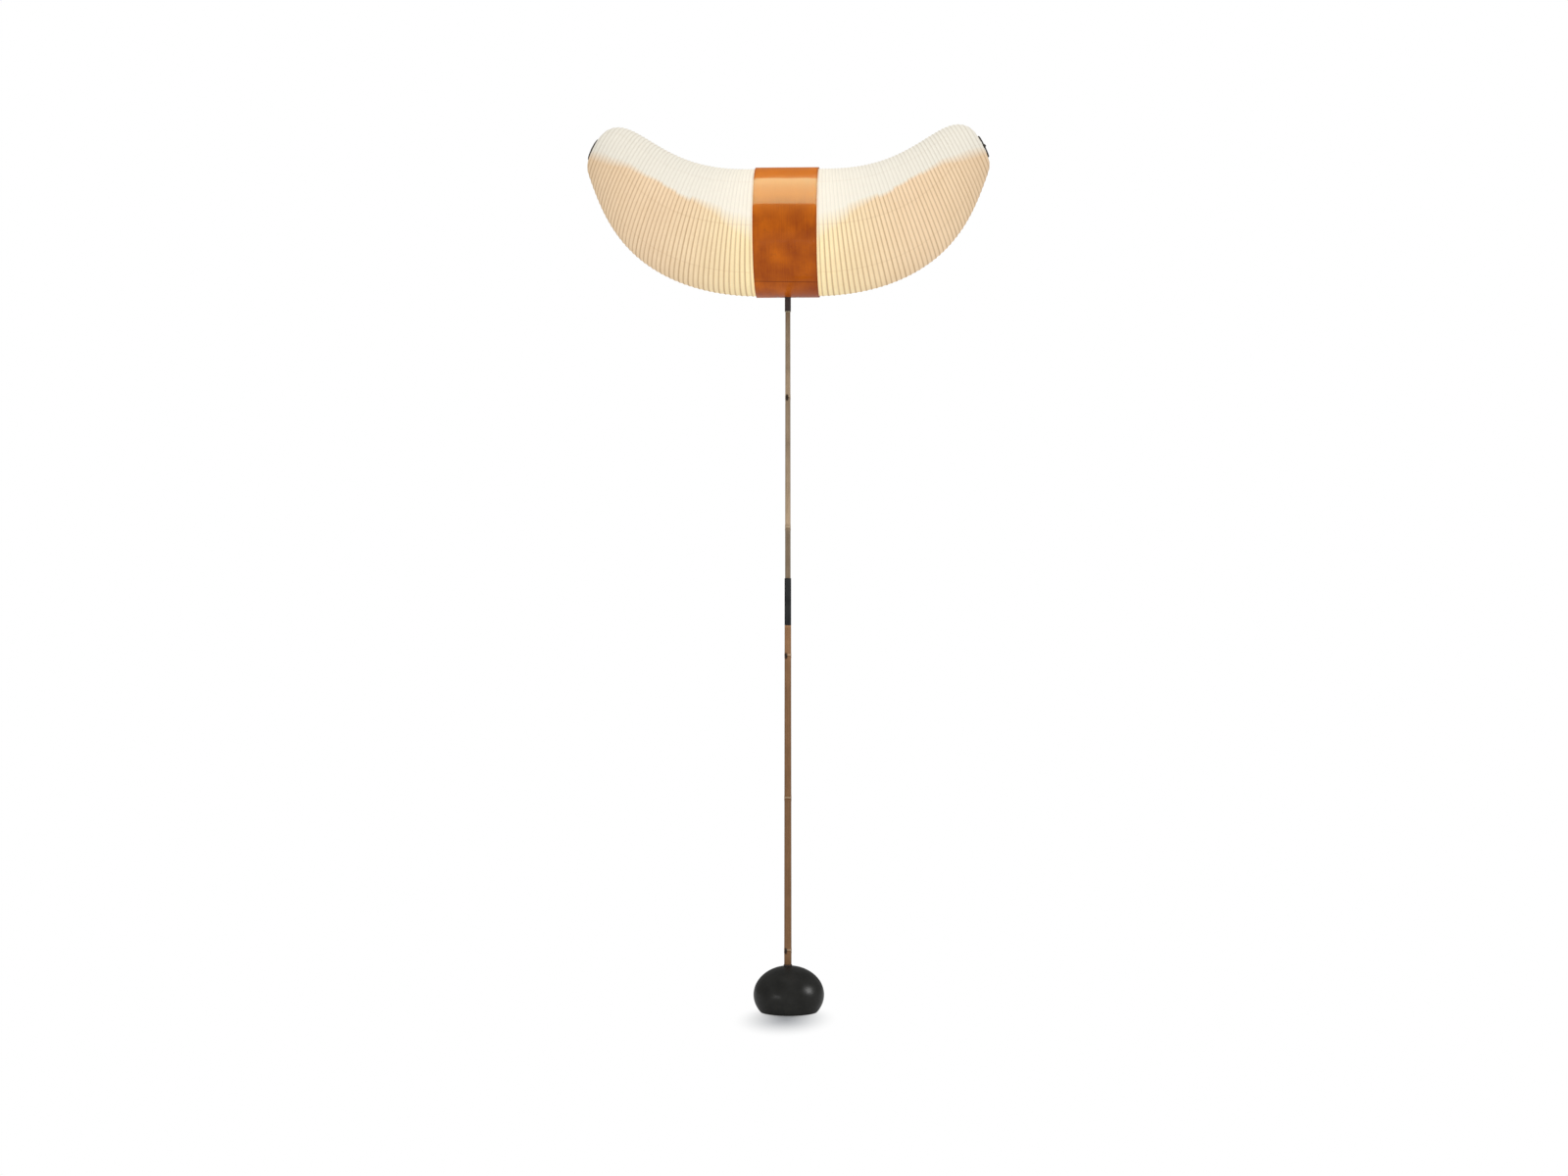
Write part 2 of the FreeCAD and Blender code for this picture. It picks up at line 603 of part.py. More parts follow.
def make_band():
    blank = hoop("hoop", "band_radius", "band_radius - band_thickness", "band_width")
    band_bottom = f"({HEAD} - band_radius)"
    tools = [bore("band_stem_hole", "stem_radius + seat_gap", f"{band_bottom} - band_thickness", HUB_TOP)]
    for side in (-1, 1):
        tools.append(screw_hole(f"band_screw_hole_{side}", side))
    y, z = outlet_place("band_radius + band_thickness")
    tools.append(lying_drum(
        "outlet_hole", "outlet_neck_radius + glue_clearance", "3 * band_thickness",
        Vector(1, 0, 0), value("outlet_angle"), y=y, z=z,
    ))
    keep("band", cut("band_blank", blank, tools))

    plate_top = "(band_radius - band_thickness - saddle_thickness)"
    bent = hoop("saddle_hoop", "band_radius - band_thickness - glue_clearance", plate_top, "saddle_length")
    trim = DOC.addObject("Part::Box", "saddle_trim")
    bind(trim, Length="saddle_length", Width="saddle_width", Height="band_radius / 2")
    place(trim, x="-saddle_length / 2", y="-saddle_width / 2", z=band_bottom)
    boss_foot = f"({HEAD} - {plate_top} - saddle_thickness / 2)"
    boss_top = f"({HEAD} - {plate_top} + saddle_boss_height)"
    boss = drum("saddle_boss", "saddle_boss_radius", boss_foot, boss_top, sides="6")
    stem_bore = drum("saddle_bore", around("stem_radius + glue_clearance"), band_bottom, HUB_TOP)
    grub_height = f"{boss_top} - saddle_boss_height / 2"
    grub_hole = lying_drum(
        "saddle_grub_hole", "grub_screw_radius + glue_clearance", "2 * saddle_boss_radius",
        Vector(1, 0, 0), -90, z=grub_height,
    )
    holes = [screw_hole(f"saddle_screw_hole_{side}", side) for side in (-1, 1)]
    blank = joined("saddle_blank", [common("saddle_plate", bent, trim), boss])
    keep("band_saddle", cut("saddle", blank, [stem_bore, grub_hole, *holes]))
    grub = lying_drum(
        "saddle_grub", "grub_screw_radius", "grub_screw_length",
        Vector(1, 0, 0), -90, y="stem_radius + glue_clearance", z=grub_height,
    )
    keep("saddle_grub_screw", grub)
    keep("band_screws", joined("screws", [screw(f"band_screw_{side}", side) for side in (-1, 1)]))

    y, z = outlet_place("band_radius * cos(180 deg / hoop_sides) - band_thickness / 2")
    half_neck = "(band_thickness / 2 + seat_gap)"
    half_all = f"({half_neck} + outlet_flange_thickness)"
    rims = [
        drum("grommet_neck", "outlet_neck_radius", f"-{half_all}", half_all),
        drum("grommet_outside", "outlet_flange_radius", f"-{half_all}", f"-{half_neck}"),
        drum("grommet_inside", "outlet_flange_radius", half_neck, half_all),
    ]
    lead_hole = drum("grommet_hole", "outlet_bore_radius", f"-2 * {half_all}", f"2 * {half_all}")
    grommet = cut("grommet", joined("grommet_blank", rims), [lead_hole])
    place(grommet, axis=Vector(1, 0, 0), turn=value("outlet_angle"))
    keep("lead_grommet", place(grommet, y=y, z=z))


def screw(name, side):
    """A cheese-head band screw, head down and sunk flush with the band."""
    x = f"{side} * band_screw_place"
    foot = f"({HEAD} - band_radius + seat_gap)"
    neck = f"({foot} + band_screw_head_height)"
    tip = f"({HEAD} - (band_radius - band_thickness - saddle_thickness) - seat_gap)"
    head = drum(f"{name}_head", "band_screw_head_radius", foot, neck, x=x)
    shank = drum(f"{name}_shank", "band_screw_radius", foot, tip, x=x)
    return joined(name, [head, shank])


def screw_hole(name, side):
    """The counterbored hole for a band screw, open at both ends."""
    x = f"{side} * band_screw_place"
    foot = f"({HEAD} - band_radius - band_thickness)"
    neck = f"({HEAD} - band_radius + seat_gap + band_screw_head_height)"
    top = f"({HEAD} - band_radius + 3 * saddle_thickness)"
    head = drum(f"{name}_head", "band_screw_head_radius + glue_clearance", foot, neck, x=x)
    shank = drum(f"{name}_shank", "band_screw_radius + glue_clearance", foot, top, x=x)
    return joined(name, [head, shank])


# ---------------------------------------------------------------- hub and arms

# the arm is an arc about a level axis high above the far side of the pole
TIP_X = "shade_tip_reach"
TIP_Z = f"({HEAD} + shade_tip_rise)"
BEND_X = f"({TIP_X} - arm_bend_radius * sin(arm_tip_slope * 1 deg))"
BEND_Z = f"({TIP_Z} + arm_bend_radius * cos(arm_tip_slope * 1 deg))"


def arm_angle(x):
    """Slope of the arm where it passes x, in degrees."""
    return f"asin(({x} - {BEND_X}) / arm_bend_radius)"


def arm_height(x):
    """Height of the arm where it passes x."""
    return f"({BEND_Z} - arm_bend_radius * cos({arm_angle(x)}))"


ARM_START = f"({arm_angle('arm_start')})"
ARM_END = "(arm_tip_slope * 1 deg + arm_past_ring / arm_bend_radius * 1 rad)"


def arm_wire(name):
    """The right arm: a round wire bent to one even arc."""
    first = math.radians(value(ARM_START))
    last = math.radians(value(ARM_END))
    steps = int(size("arm_steps"))
    centre = Vector(value(BEND_X), 0, value(BEND_Z))
    sections = []
    for step in range(steps + 1):
        angle = first + (last - first) * step / steps
        inward = Vector(-math.sin(angle), 0, math.cos(angle))
        middle = centre - inward * size("arm_bend_radius")
        sections.append(wire_section(middle, inward, Vector(0, 1, 0), size("arm_radius"), WIRE_SIDES))
    return wire_loop(name, sections, False)


def make_hub_and_arms():
    """The hub is milled from bar; each arm is clamped in a sloping bore at its end."""
    foot = f"({HEAD} - hub_foot)"
    bar = DOC.addObject("Part::Box", "hub_bar")
    bind(bar, Length="2 * hub_reach", Width="hub_width", Height=f"{HUB_TOP} - {foot}")
    place(bar, x="-hub_reach", y="-hub_width / 2", z=foot)
    bores = []
    reach = "(1.5 * hub_reach - arm_start)"
    middle = "(hub_reach + arm_start) / 2"
    slope = value(arm_angle(middle))
    for side in (-1, 1):
        bores.append(lying_drum(
            f"hub_bore_{side}", "arm_radius + loose_clearance", reach,
            Vector(0, 1, 0), side * (90 - slope), x=f"{side} * arm_start",
            z=f"{arm_height(middle)} - ({middle} - arm_start) * tan({arm_angle(middle)})",
        ))
    stem_bore = drum(
        "hub_stem_bore", around("stem_radius + glue_clearance"), f"{foot} - seat_gap",
        f"{foot} + stem_in_hub + seat_gap",
    )
    nipple_bore = drum(
        "hub_nipple_bore", "nipple_radius + glue_clearance", f"{HUB_TOP} - nipple_in_hub", HEAD
    )
    keep("arm_hub", cut("hub", bar, [*bores, stem_bore, nipple_bore]))

    right = arm_wire("right_wire")
    keep("right_arm", right)
    keep("left_arm", mirrored("left_wire", right))

    slope = value("arm_tip_slope")
    offset = "(tip_eye_length / 2 + seat_gap)"
    nut = ring("right_nut", "arm_nut_radius", "arm_radius + glue_clearance", "0", "arm_nut_length")
    place(nut, axis=Vector(0, 1, 0), turn=90 - slope)
    place(
        nut,
        x=f"{TIP_X} + {offset} * cos(arm_tip_slope * 1 deg)",
        z=f"{TIP_Z} + {offset} * sin(arm_tip_slope * 1 deg)",
    )
    keep("right_arm_nut", nut)
    keep("left_arm_nut", mirrored("left_nut", nut))


def make_tip_rings():
    lean = math.radians(value("rib_lean"))
    centre = Vector(value(TIP_X), 0, value(TIP_Z))
    up = Vector(-math.sin(lean), 0, math.cos(lean))
    normal = Vector(math.cos(lean), 0, math.sin(lean))
    sides = int(size("rib_facets"))
    sections = []
    for side in range(sides):
        angle = 2 * math.pi * side / sides
        outward = up * math.cos(angle) + Vector(0, math.sin(angle), 0)
        middle = centre + outward * size("tip_ring_radius")
        sections.append(wire_section(middle, outward, normal, size("tip_ring_wire"), WIRE_SIDES))
    ring = wire_loop("ring_wire", sections, True)
    bar = lying_drum(
        "ring_bar", "tip_bar_radius", "2 * tip_ring_radius", Vector(1, 0, 0), -90,
        x=TIP_X, y="-tip_ring_radius", z=TIP_Z, sides="6",
    )
    slope = value("arm_tip_slope")
    pieces = []
    for label, radius, length in (
        ("eye", "tip_eye_radius", "tip_eye_length"),
        ("eye_bore", "arm_radius + loose_clearance", "3 * tip_eye_length"),
    ):
        pieces.append(lying_drum(
            label, radius, length, Vector(0, 1, 0), 90 - slope,
            x=f"{TIP_X} - {length} / 2 * cos(arm_tip_slope * 1 deg)",
            z=f"{TIP_Z} - {length} / 2 * sin(arm_tip_slope * 1 deg)",
        ))
    right = cut("right_ring", joined("ring_blank", [ring, bar, pieces[0]]), [pieces[1]])
    keep("right_tip_ring", right)
    keep("left_tip_ring", mirrored("left_ring", right))


# ---------------------------------------------------------------- paper shade

def make_inner_hoops():
    """A flat bent strip inside the first ribs, with the shade's own flat sides."""
    reach = "(shade_radius - pleat_depth - paper_wall - seat_gap)"
    rims = []
    for label, radius in (("hoop_outside", reach), ("hoop_inside", f"{reach} - inner_hoop_thickness")):
        rim = DOC.addObject("Part::Prism", label)
        bind(rim, Polygon="rib_facets", Circumradius=radius, Height="inner_hoop_width")
        rims.append(place(rim, x="band_width / 2 - shade_tuck", z=HEAD, axis=Vector(0, 1, 0), turn=90))
    hoop = cut("right_hoop", rims[0], [rims[1]])
    keep("right_inner_hoop", hoop)
    keep("left_inner_hoop", mirrored("left_hoop", hoop))


def spine_point(share):
    """A point of the shade's spine, a cubic curve from the band to the tip ring."""
    root = Vector(size("band_width") / 2 - size("shade_tuck"), 0, value(HEAD))
    lean = math.radians(size("rib_lean"))
    short = size("tip_ring_wire") + size("seat_gap")
    ring_centre = Vector(size("shade_tip_reach"), 0, value(TIP_Z))
    tip = ring_centre - Vector(math.cos(lean), 0, math.sin(lean)) * short
    heading = math.radians(size("shade_tip_heading"))
    root_handle = root + Vector(size("shade_root_handle"), 0, 0)
    back = Vector(math.cos(heading), 0, math.sin(heading)) * size("shade_tip_handle")
    tip_handle = tip - back
    rest = 1 - share
    return (
        root * rest**3
        + root_handle * (3 * share * rest**2)
        + tip_handle * (3 * share**2 * rest)
        + tip * share**3
    )


def spine_shares(count):
    """Shares of the curve that divide the spine into equal lengths."""
    points = [spine_point(step / SPINE_STEPS) for step in range(SPINE_STEPS + 1)]
    run = [0.0]
    for first, second in zip(points, points[1:]):
        run.append(run[-1] + first.distanceToPoint(second))
    shares = []
    step = 0
    for index in range(count + 1):
        want = run[-1] * index / count
        while step < SPINE_STEPS - 1 and run[step + 1] < want:
            step += 1
        part = (want - run[step]) / (run[step + 1] - run[step])
        shares.append((step + part) / SPINE_STEPS)
    return shares


def rib(index, count, shares, drawn_in):
    """Corners of one section of the shade, leaning outward at its foot more and more."""
    along = index / count
    taper = (1 - along ** size("shade_taper_start")) if along < 1 else 0.0
    span = size("shade_radius") - size("shade_end_radius")
    radius = size("shade_end_radius") + span * taper ** (1 / size("shade_taper_end")) - drawn_in
    ease = min(along / size("rib_lean_full_at"), 1)
    lean = math.radians(size("rib_lean")) * (1 - (1 - ease) ** 2)
    centre = spine_point(shares[index])
    up = Vector(-math.sin(lean), 0, math.cos(lean))
    sides = int(size("rib_facets"))
    corners = []
    for side in range(sides):
        angle = 2 * math.pi * side / sides
        across = Vector(0, math.sin(angle) * radius, 0)
        corners.append(centre + up * (math.cos(angle) * radius) + across)
    return corners


def make_shades():
    """Each half is a pleated skin: crests on the ribs, valleys half way between them."""
    ribs = int(size("rib_count"))
    steps = 2 * ribs
    shares = spine_shares(steps)
    outer = []
    for step in range(steps + 1):
        outer.append(rib(step, steps, shares, size("pleat_depth") * (step % 2)))
    wall = size("pleat_depth") + size("paper_wall")
    inner = [rib(step, steps, shares, wall) for step in range(0, steps + 1, INNER_EVERY)]
    right = wire_loop("right_paper", outer + inner[::-1], True)
    keep("right_shade", right)
    keep("left_shade", mirrored("left_paper", right))


# ---------------------------------------------------------------- lampholder and bulb

def make_lampholder():
    nipple_foot = f"({HUB_TOP} - nipple_in_hub + seat_gap)"
    floor_top = f"({HUB_TOP} + seat_gap + holder_floor)"
    nipple_top = f"({floor_top} - seat_gap)"
    keep("holder_nipple", ring("nipple", "nipple_radius", "nipple_bore_radius", nipple_foot, nipple_top))

    foot = f"({HUB_TOP} + seat_gap)"
    cap_top = f"({foot} + holder_cap_height)"
    hole = "nipple_radius + glue_clearance"
    inside = "(holder_radius - holder_wall)"
    shell_outside = drum("cap_outside", "holder_radius", foot, cap_top)
    room = drum("cap_inside", inside, floor_top, f"{cap_top} + seat_gap")
    nipple_hole = drum("cap_hole", hole, f"{foot} - seat_gap", floor_top)
    gland_height = f"({foot} + holder_cap_height / 2)"
    gland = lying_drum(
        "gland", "gland_radius", "gland_reach - holder_radius + holder_wall / 2", Vector(1, 0, 0), -90,
        y="holder_radius - holder_wall / 2", z=gland_height,
    )
    lead_bore = lying_drum(
        "lead_bore", "outlet_bore_radius", "2 * gland_reach", Vector(1, 0, 0), -90, z=gland_height
    )
    blank = joined("cap_blank", [shell_outside, gland])
    keep("holder_cap", cut("holder_cap_bored", blank, [room, nipple_hole, lead_bore]))

    skirt_foot = f"({cap_top} + seat_gap)"
    skirt_top = f"({skirt_foot} + holder_skirt_height)"
    spigot = f"{inside} - glue_clearance"
    shell_room = "shell_radius + glue_clearance"
    spigot_foot = f"({skirt_foot} - holder_spigot)"
    skirt = joined("skirt_blank", [
        drum("skirt_outside", "holder_radius", skirt_foot, skirt_top),
        drum("skirt_spigot", spigot, spigot_foot, f"{skirt_foot} + holder_wall"),
    ])
    mouth = drum("skirt_mouth", shell_room, f"{spigot_foot} - seat_gap", f"{skirt_top} + seat_gap")
    keep("holder_skirt", cut("skirt", skirt, [mouth]))

    insert_foot = f"({floor_top} + seat_gap)"
    insert_top = f"({insert_foot} + insert_height - seat_gap)"
    keep("holder_insert", drum("insert", "insert_radius", insert_foot, insert_top))
    shell_top = f"{insert_top} + shell_height"
    shell = ring("shell", "shell_radius", "shell_radius - shell_wall", insert_top, shell_top)
    keep("screw_shell", shell)
    contact_top = f"({insert_top} + contact_height)"
    keep("centre_contact", drum("contact", "contact_radius", insert_top, contact_top))

    bulb_foot = f"({contact_top} + seat_gap)"
    cap_foot = f"({bulb_foot} + bulb_contact_height)"
    cap_head = f"({cap_foot} + bulb_cap_height)"
    keep("bulb_contact", drum("bulb_end", "bulb_contact_radius", bulb_foot, cap_foot))
    keep("bulb_cap", drum("bulb_cap_blank", "bulb_cap_radius", cap_foot, cap_head))
    outline = globe_outline(value(cap_head))
    keep("bulb_glass", faceted("globe", outline, int(size("globe_sides")), True))


def globe_outline(foot):
    """Section of the opal globe: a neck that opens into a ball, with an even wall and a bored top."""
    lowest = -math.radians(size("bulb_neck_lowest"))
    centre = foot + size("bulb_neck_length") + size("bulb_radius") * math.sin(-lowest)
    corners = []
    for wall, order in ((0.0, 1), (size("bulb_glass_wall"), -1)):
        ball = size("bulb_radius") - wall
        neck = size("bulb_cap_radius") - wall
        line = [(neck, foot), (neck, foot + size("bulb_collar_length"))]
        for step in range(GLOBE_STEPS + 1):
            angle = lowest + (math.pi / 2 - lowest) * step / GLOBE_STEPS
            reach = ball * math.cos(angle) if step < GLOBE_STEPS else 0.0
            line.append((reach, centre + ball * math.sin(angle)))
        corners += line[::order]
    return corners


# ---------------------------------------------------------------- build, check and write

def check_parts():
    """Stops if anything failed to build."""
    for thing in DOC.Objects:
        if "Invalid" in thing.State or "Error" in thing.State:
            raise RuntimeError(f"{thing.Name} failed: {thing.State}")
    for node, thing in PARTS.items():
        shape = thing.Shape
        if shape.isNull() or not shape.isValid() or not shape.Solids:
            raise RuntimeError(f"{node} has no valid solid")


def write_parts():
    os.makedirs("parts", exist_ok=True)
    for node, thing in PARTS.items():
        thing.Shape.exportStep(f"parts/{node}.step")
        print(f"{node}: {thing.Shape.Volume / 1000:.2f} cm3, {len(thing.Shape.Solids)} solid(s)")


make_base()
make_lower_pole()
make_upper_pole()
make_swivel()
make_band()
make_hub_and_arms()
make_tip_rings()
make_inner_hoops()
make_shades()
make_lampholder()
DOC.recompute()
check_parts()
write_parts()
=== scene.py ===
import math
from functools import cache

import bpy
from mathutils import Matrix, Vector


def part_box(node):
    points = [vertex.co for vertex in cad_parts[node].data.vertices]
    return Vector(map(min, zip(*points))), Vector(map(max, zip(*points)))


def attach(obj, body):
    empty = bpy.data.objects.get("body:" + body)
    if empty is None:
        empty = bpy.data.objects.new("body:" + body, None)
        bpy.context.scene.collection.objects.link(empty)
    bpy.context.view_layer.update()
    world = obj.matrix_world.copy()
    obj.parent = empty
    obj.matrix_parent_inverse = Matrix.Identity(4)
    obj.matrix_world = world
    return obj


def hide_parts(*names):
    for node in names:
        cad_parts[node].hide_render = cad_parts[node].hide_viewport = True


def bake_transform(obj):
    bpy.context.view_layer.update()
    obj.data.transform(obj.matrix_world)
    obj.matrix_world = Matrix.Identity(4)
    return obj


bl_info = {
    "name": "Paper Lantern Floor Lamp",
    "version": (1, 0, 0),
    "blender": (4, 5, 0),
    "location": "3D View > Sidebar > Lantern Lamp",
    "description": "Dresses a packed floor lamp: pleated paper shade, veneer band, bamboo pole, pebble base",
    "category": "Add Mesh",
}

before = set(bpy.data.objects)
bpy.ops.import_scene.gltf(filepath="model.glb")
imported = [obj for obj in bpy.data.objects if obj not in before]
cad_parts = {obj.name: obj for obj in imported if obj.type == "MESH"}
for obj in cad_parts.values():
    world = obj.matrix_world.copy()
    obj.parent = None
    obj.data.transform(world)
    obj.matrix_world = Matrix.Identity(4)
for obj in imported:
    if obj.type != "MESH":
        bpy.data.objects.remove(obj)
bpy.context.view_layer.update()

# the band's box and middle, the right tip ring's centre and the arm's slope there, in metres and radians
BAND_LOW, BAND_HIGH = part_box("band")
HEAD_Z = (BAND_LOW.z + BAND_HIGH.z) / 2
TIP_X = 0.4065
TIP_Z = HEAD_Z + 0.1759
ARM_SLOPE = math.radians(40.6)


# ---------------------------------------------------------------- settings

COLOUR = {"subtype": "COLOR", "size": 3, "min": 0.0, "max": 1.0}


class LampShadeSettings(bpy.types.PropertyGroup):
    rib_count: bpy.props.IntProperty(
        name="Ribs", description="Bamboo ribs in each half of the shade", default=45, min=8, max=90)
    pleat_depth: bpy.props.FloatProperty(
        name="Pleat depth", description="How far the paper draws in between two ribs",
        default=0.0011, min=0.0, max=0.004, unit="LENGTH")
    root_radius: bpy.props.FloatProperty(
        name="Root radius", description="Radius of the first rib, beside the band", default=0.1322,
        unit="LENGTH")
    tip_radius: bpy.props.FloatProperty(
        name="Tip radius", description="Radius of the last rib, at the tip ring", default=0.0224, unit="LENGTH")
    lean: bpy.props.FloatProperty(
        name="Lean", description="Lean of the last ribs", default=math.radians(26.6), subtype="ANGLE")
    around: bpy.props.IntProperty(
        name="Points round", description="Points round each rib", default=96, min=24, max=192)
    between: bpy.props.IntProperty(
        name="Steps", description="Steps from one rib to the next", default=4, min=2, max=8)
    paper: bpy.props.FloatProperty(
        name="Paper", description="Thickness of the paper", default=0.0003, unit="LENGTH")
    # the two tones of the shade are partly a backed upper sheet and a thin lower one, and partly painted light
    # from above
    upper_colour: bpy.props.FloatVectorProperty(
        name="Upper paper", description="Backed paper of the upper half",
        default=(0.955, 0.905, 0.79), **COLOUR)
    lower_colour: bpy.props.FloatVectorProperty(
        name="Lower paper", description="Thin paper of the lower half", default=(0.90, 0.68, 0.455), **COLOUR)
    lit_colour: bpy.props.FloatVectorProperty(
        name="Lit paper", description="Thin paper beside the band, warmed by the bulb",
        default=(0.99, 0.86, 0.50), **COLOUR)
    rib_colour: bpy.props.FloatVectorProperty(
        name="Rib lines", description="Bamboo ribs that show through the paper",
        default=(0.52, 0.33, 0.17), **COLOUR)


class LampBandSettings(bpy.types.PropertyGroup):
    around: bpy.props.IntProperty(
        name="Points round", description="Points round the band", default=192, min=48, max=360)
    thickness: bpy.props.FloatProperty(
        name="Veneer", description="Thickness of the bent veneer", default=0.0024, unit="LENGTH")
    amber: bpy.props.FloatVectorProperty(
        name="Amber", description="Lacquered veneer, light parts", default=(0.70, 0.170, 0.006), **COLOUR)
    # painted light: the golden top stands for light falling from above
    lit_top_golden: bpy.props.FloatVectorProperty(
        name="Golden", description="Lacquered veneer, bleached top", default=(0.72, 0.180, 0.005), **COLOUR)
    brown: bpy.props.FloatVectorProperty(
        name="Brown", description="Lacquered veneer, dark parts", default=(0.25, 0.040, 0.006), **COLOUR)


class LampPoleSettings(bpy.types.PropertyGroup):
    around: bpy.props.IntProperty(
        name="Points round", description="Points round each cane", default=40, min=12, max=96)
    node_swell: bpy.props.FloatProperty(
        name="Node swell", description="How far a bamboo node stands out", default=0.00055, unit="LENGTH")
    lower_colour: bpy.props.FloatVectorProperty(
        name="Lower cane", description="Tan bamboo", default=(0.212, 0.114, 0.056), **COLOUR)
    upper_colour: bpy.props.FloatVectorProperty(
        name="Upper cane", description="Grey-beige bamboo", default=(0.30, 0.222, 0.148), **COLOUR)


class LampBaseSettings(bpy.types.PropertyGroup):
    radius: bpy.props.FloatProperty(
        name="Radius", description="Widest half width of the pebble", default=0.0736, unit="LENGTH")
    half_height: bpy.props.FloatProperty(
        name="Half height", description="Half height of the pebble's ellipse", default=0.060, unit="LENGTH")
    centre_height: bpy.props.FloatProperty(
        name="Centre height", description="Widest level above the floor", default=0.037, unit="LENGTH")
    offset: bpy.props.FloatProperty(
        name="Offset", description="Pebble's centre beside the pole", default=0.002, unit="LENGTH")
    iron: bpy.props.FloatVectorProperty(
        name="Iron", description="Rubbed black cast iron", default=(0.017, 0.017, 0.0158), **COLOUR)


class LampStageSettings(bpy.types.PropertyGroup):
    azimuth: bpy.props.FloatProperty(
        name="Camera azimuth", description="Camera's place round the lamp",
        default=math.radians(3.1), subtype="ANGLE")
    distance: bpy.props.FloatProperty(
        name="Camera distance", description="Camera to pole", default=5.842, unit="LENGTH")
    height: bpy.props.FloatProperty(
        name="Camera height", description="Camera above the floor", default=0.8835, unit="LENGTH")
    sideways: bpy.props.FloatProperty(
        name="Camera shift", description="Camera beside the line to the pole", default=-0.008, unit="LENGTH")
    lens: bpy.props.FloatProperty(
        name="Lens", description="Focal length on a 36 mm sensor, in millimetres", default=64.4)


# ---------------------------------------------------------------- modelling helpers

SPECK = 1e-5  # radius of a ring that a weld closes into a point


def placed(name):
    """Names the active piece, and puts its place, turn and size into its mesh."""
    piece = bpy.context.object
    piece.name = piece.data.name = name
    bpy.ops.object.transform_apply(location=True, rotation=True, scale=True)
    return piece


def start_edit(name, add, **values):
    """Adds a primitive with nothing else selected, and opens it."""
    bpy.ops.object.select_all(action="DESELECT")
    add(**values)
    piece = placed(name)
    bpy.ops.object.mode_set(mode="EDIT")
    bpy.ops.mesh.select_all(action="SELECT")
    return piece


def end_edit(piece, weld=0.0):
    """Welds, points the faces outward and closes edit mode."""
    bpy.ops.mesh.select_all(action="SELECT")
    if weld:
        bpy.ops.mesh.remove_doubles(threshold=weld)
    bpy.ops.mesh.normals_make_consistent(inside=False)
    bpy.ops.object.mode_set(mode="OBJECT")
    return piece


def alone(piece):
    """Selects one piece and nothing else."""
    bpy.ops.object.select_all(action="DESELECT")
    piece.select_set(True)
    bpy.context.view_layer.objects.active = piece


def apply_modifier(piece, kind, **values):
    """Adds a modifier and applies it."""
    alone(piece)
    modifier = piece.modifiers.new(kind.title(), kind)
    for word, value in values.items():
        setattr(modifier, word, value)
    bpy.ops.object.modifier_apply(modifier=modifier.name)


def smooth(piece, degrees):
    """Shades a piece smooth, apart from edges sharper than the angle."""
    alone(piece)
    bpy.ops.object.shade_smooth_by_angle(angle=math.radians(degrees))


def turn_up(name, outline, around, closed=False):
    """A turning: a circle extruded upward and resized through (radius, height) steps.

    A first or last radius of 0 closes that end; otherwise it is capped flat, unless
    the outline is closed, which joins its last ring to its first.
    """
    radius, height = outline[0]
    piece = start_edit(name, bpy.ops.mesh.primitive_circle_add,
                       vertices=around, radius=max(radius, SPECK), location=(0, 0, height))
    if not closed and radius > 0:
        bpy.ops.mesh.edge_face_add()
        bpy.ops.mesh.select_all(action="SELECT")
    before = max(radius, SPECK)
    for radius, next_height in outline[1:]:
        bpy.ops.mesh.extrude_region_move(TRANSFORM_OT_translate={"value": (0, 0, next_height - height)})
        share = max(radius, SPECK) / before
        if abs(share - 1) > 1e-9:
            bpy.ops.transform.resize(value=(share, share, 1), center_override=(0, 0, next_height))
        before, height = max(radius, SPECK), next_height
    return end_edit(piece, weld=2 * SPECK)


def face_out(piece):
    """Points a finished mesh's faces outward."""
    alone(piece)
    bpy.ops.object.mode_set(mode="EDIT")
    end_edit(piece)


def copied(piece, name):
    """The same piece on the other side of the pole, with a mesh of its own."""
    alone(piece)
    bpy.ops.object.duplicate(linked=False)
    bpy.context.object.scale = (-1, 1, 1)
    twin = placed(name)
    face_out(twin)
    return twin


def finish_piece(piece, body, material, slot, *nodes):
    """Gives a piece its finish and its body, and hides the nodes it stands for."""
    piece.data.materials.clear()
    piece.data.materials.append(material)
    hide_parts(*nodes)
    if body:
        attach(piece, body)


# ---------------------------------------------------------------- node helpers

def rgba(colour, factor=1.0):
    """A colour, made lighter or darker, with the alpha that sockets want."""
    return (*(min(1.0, channel * factor) for channel in colour), 1.0)


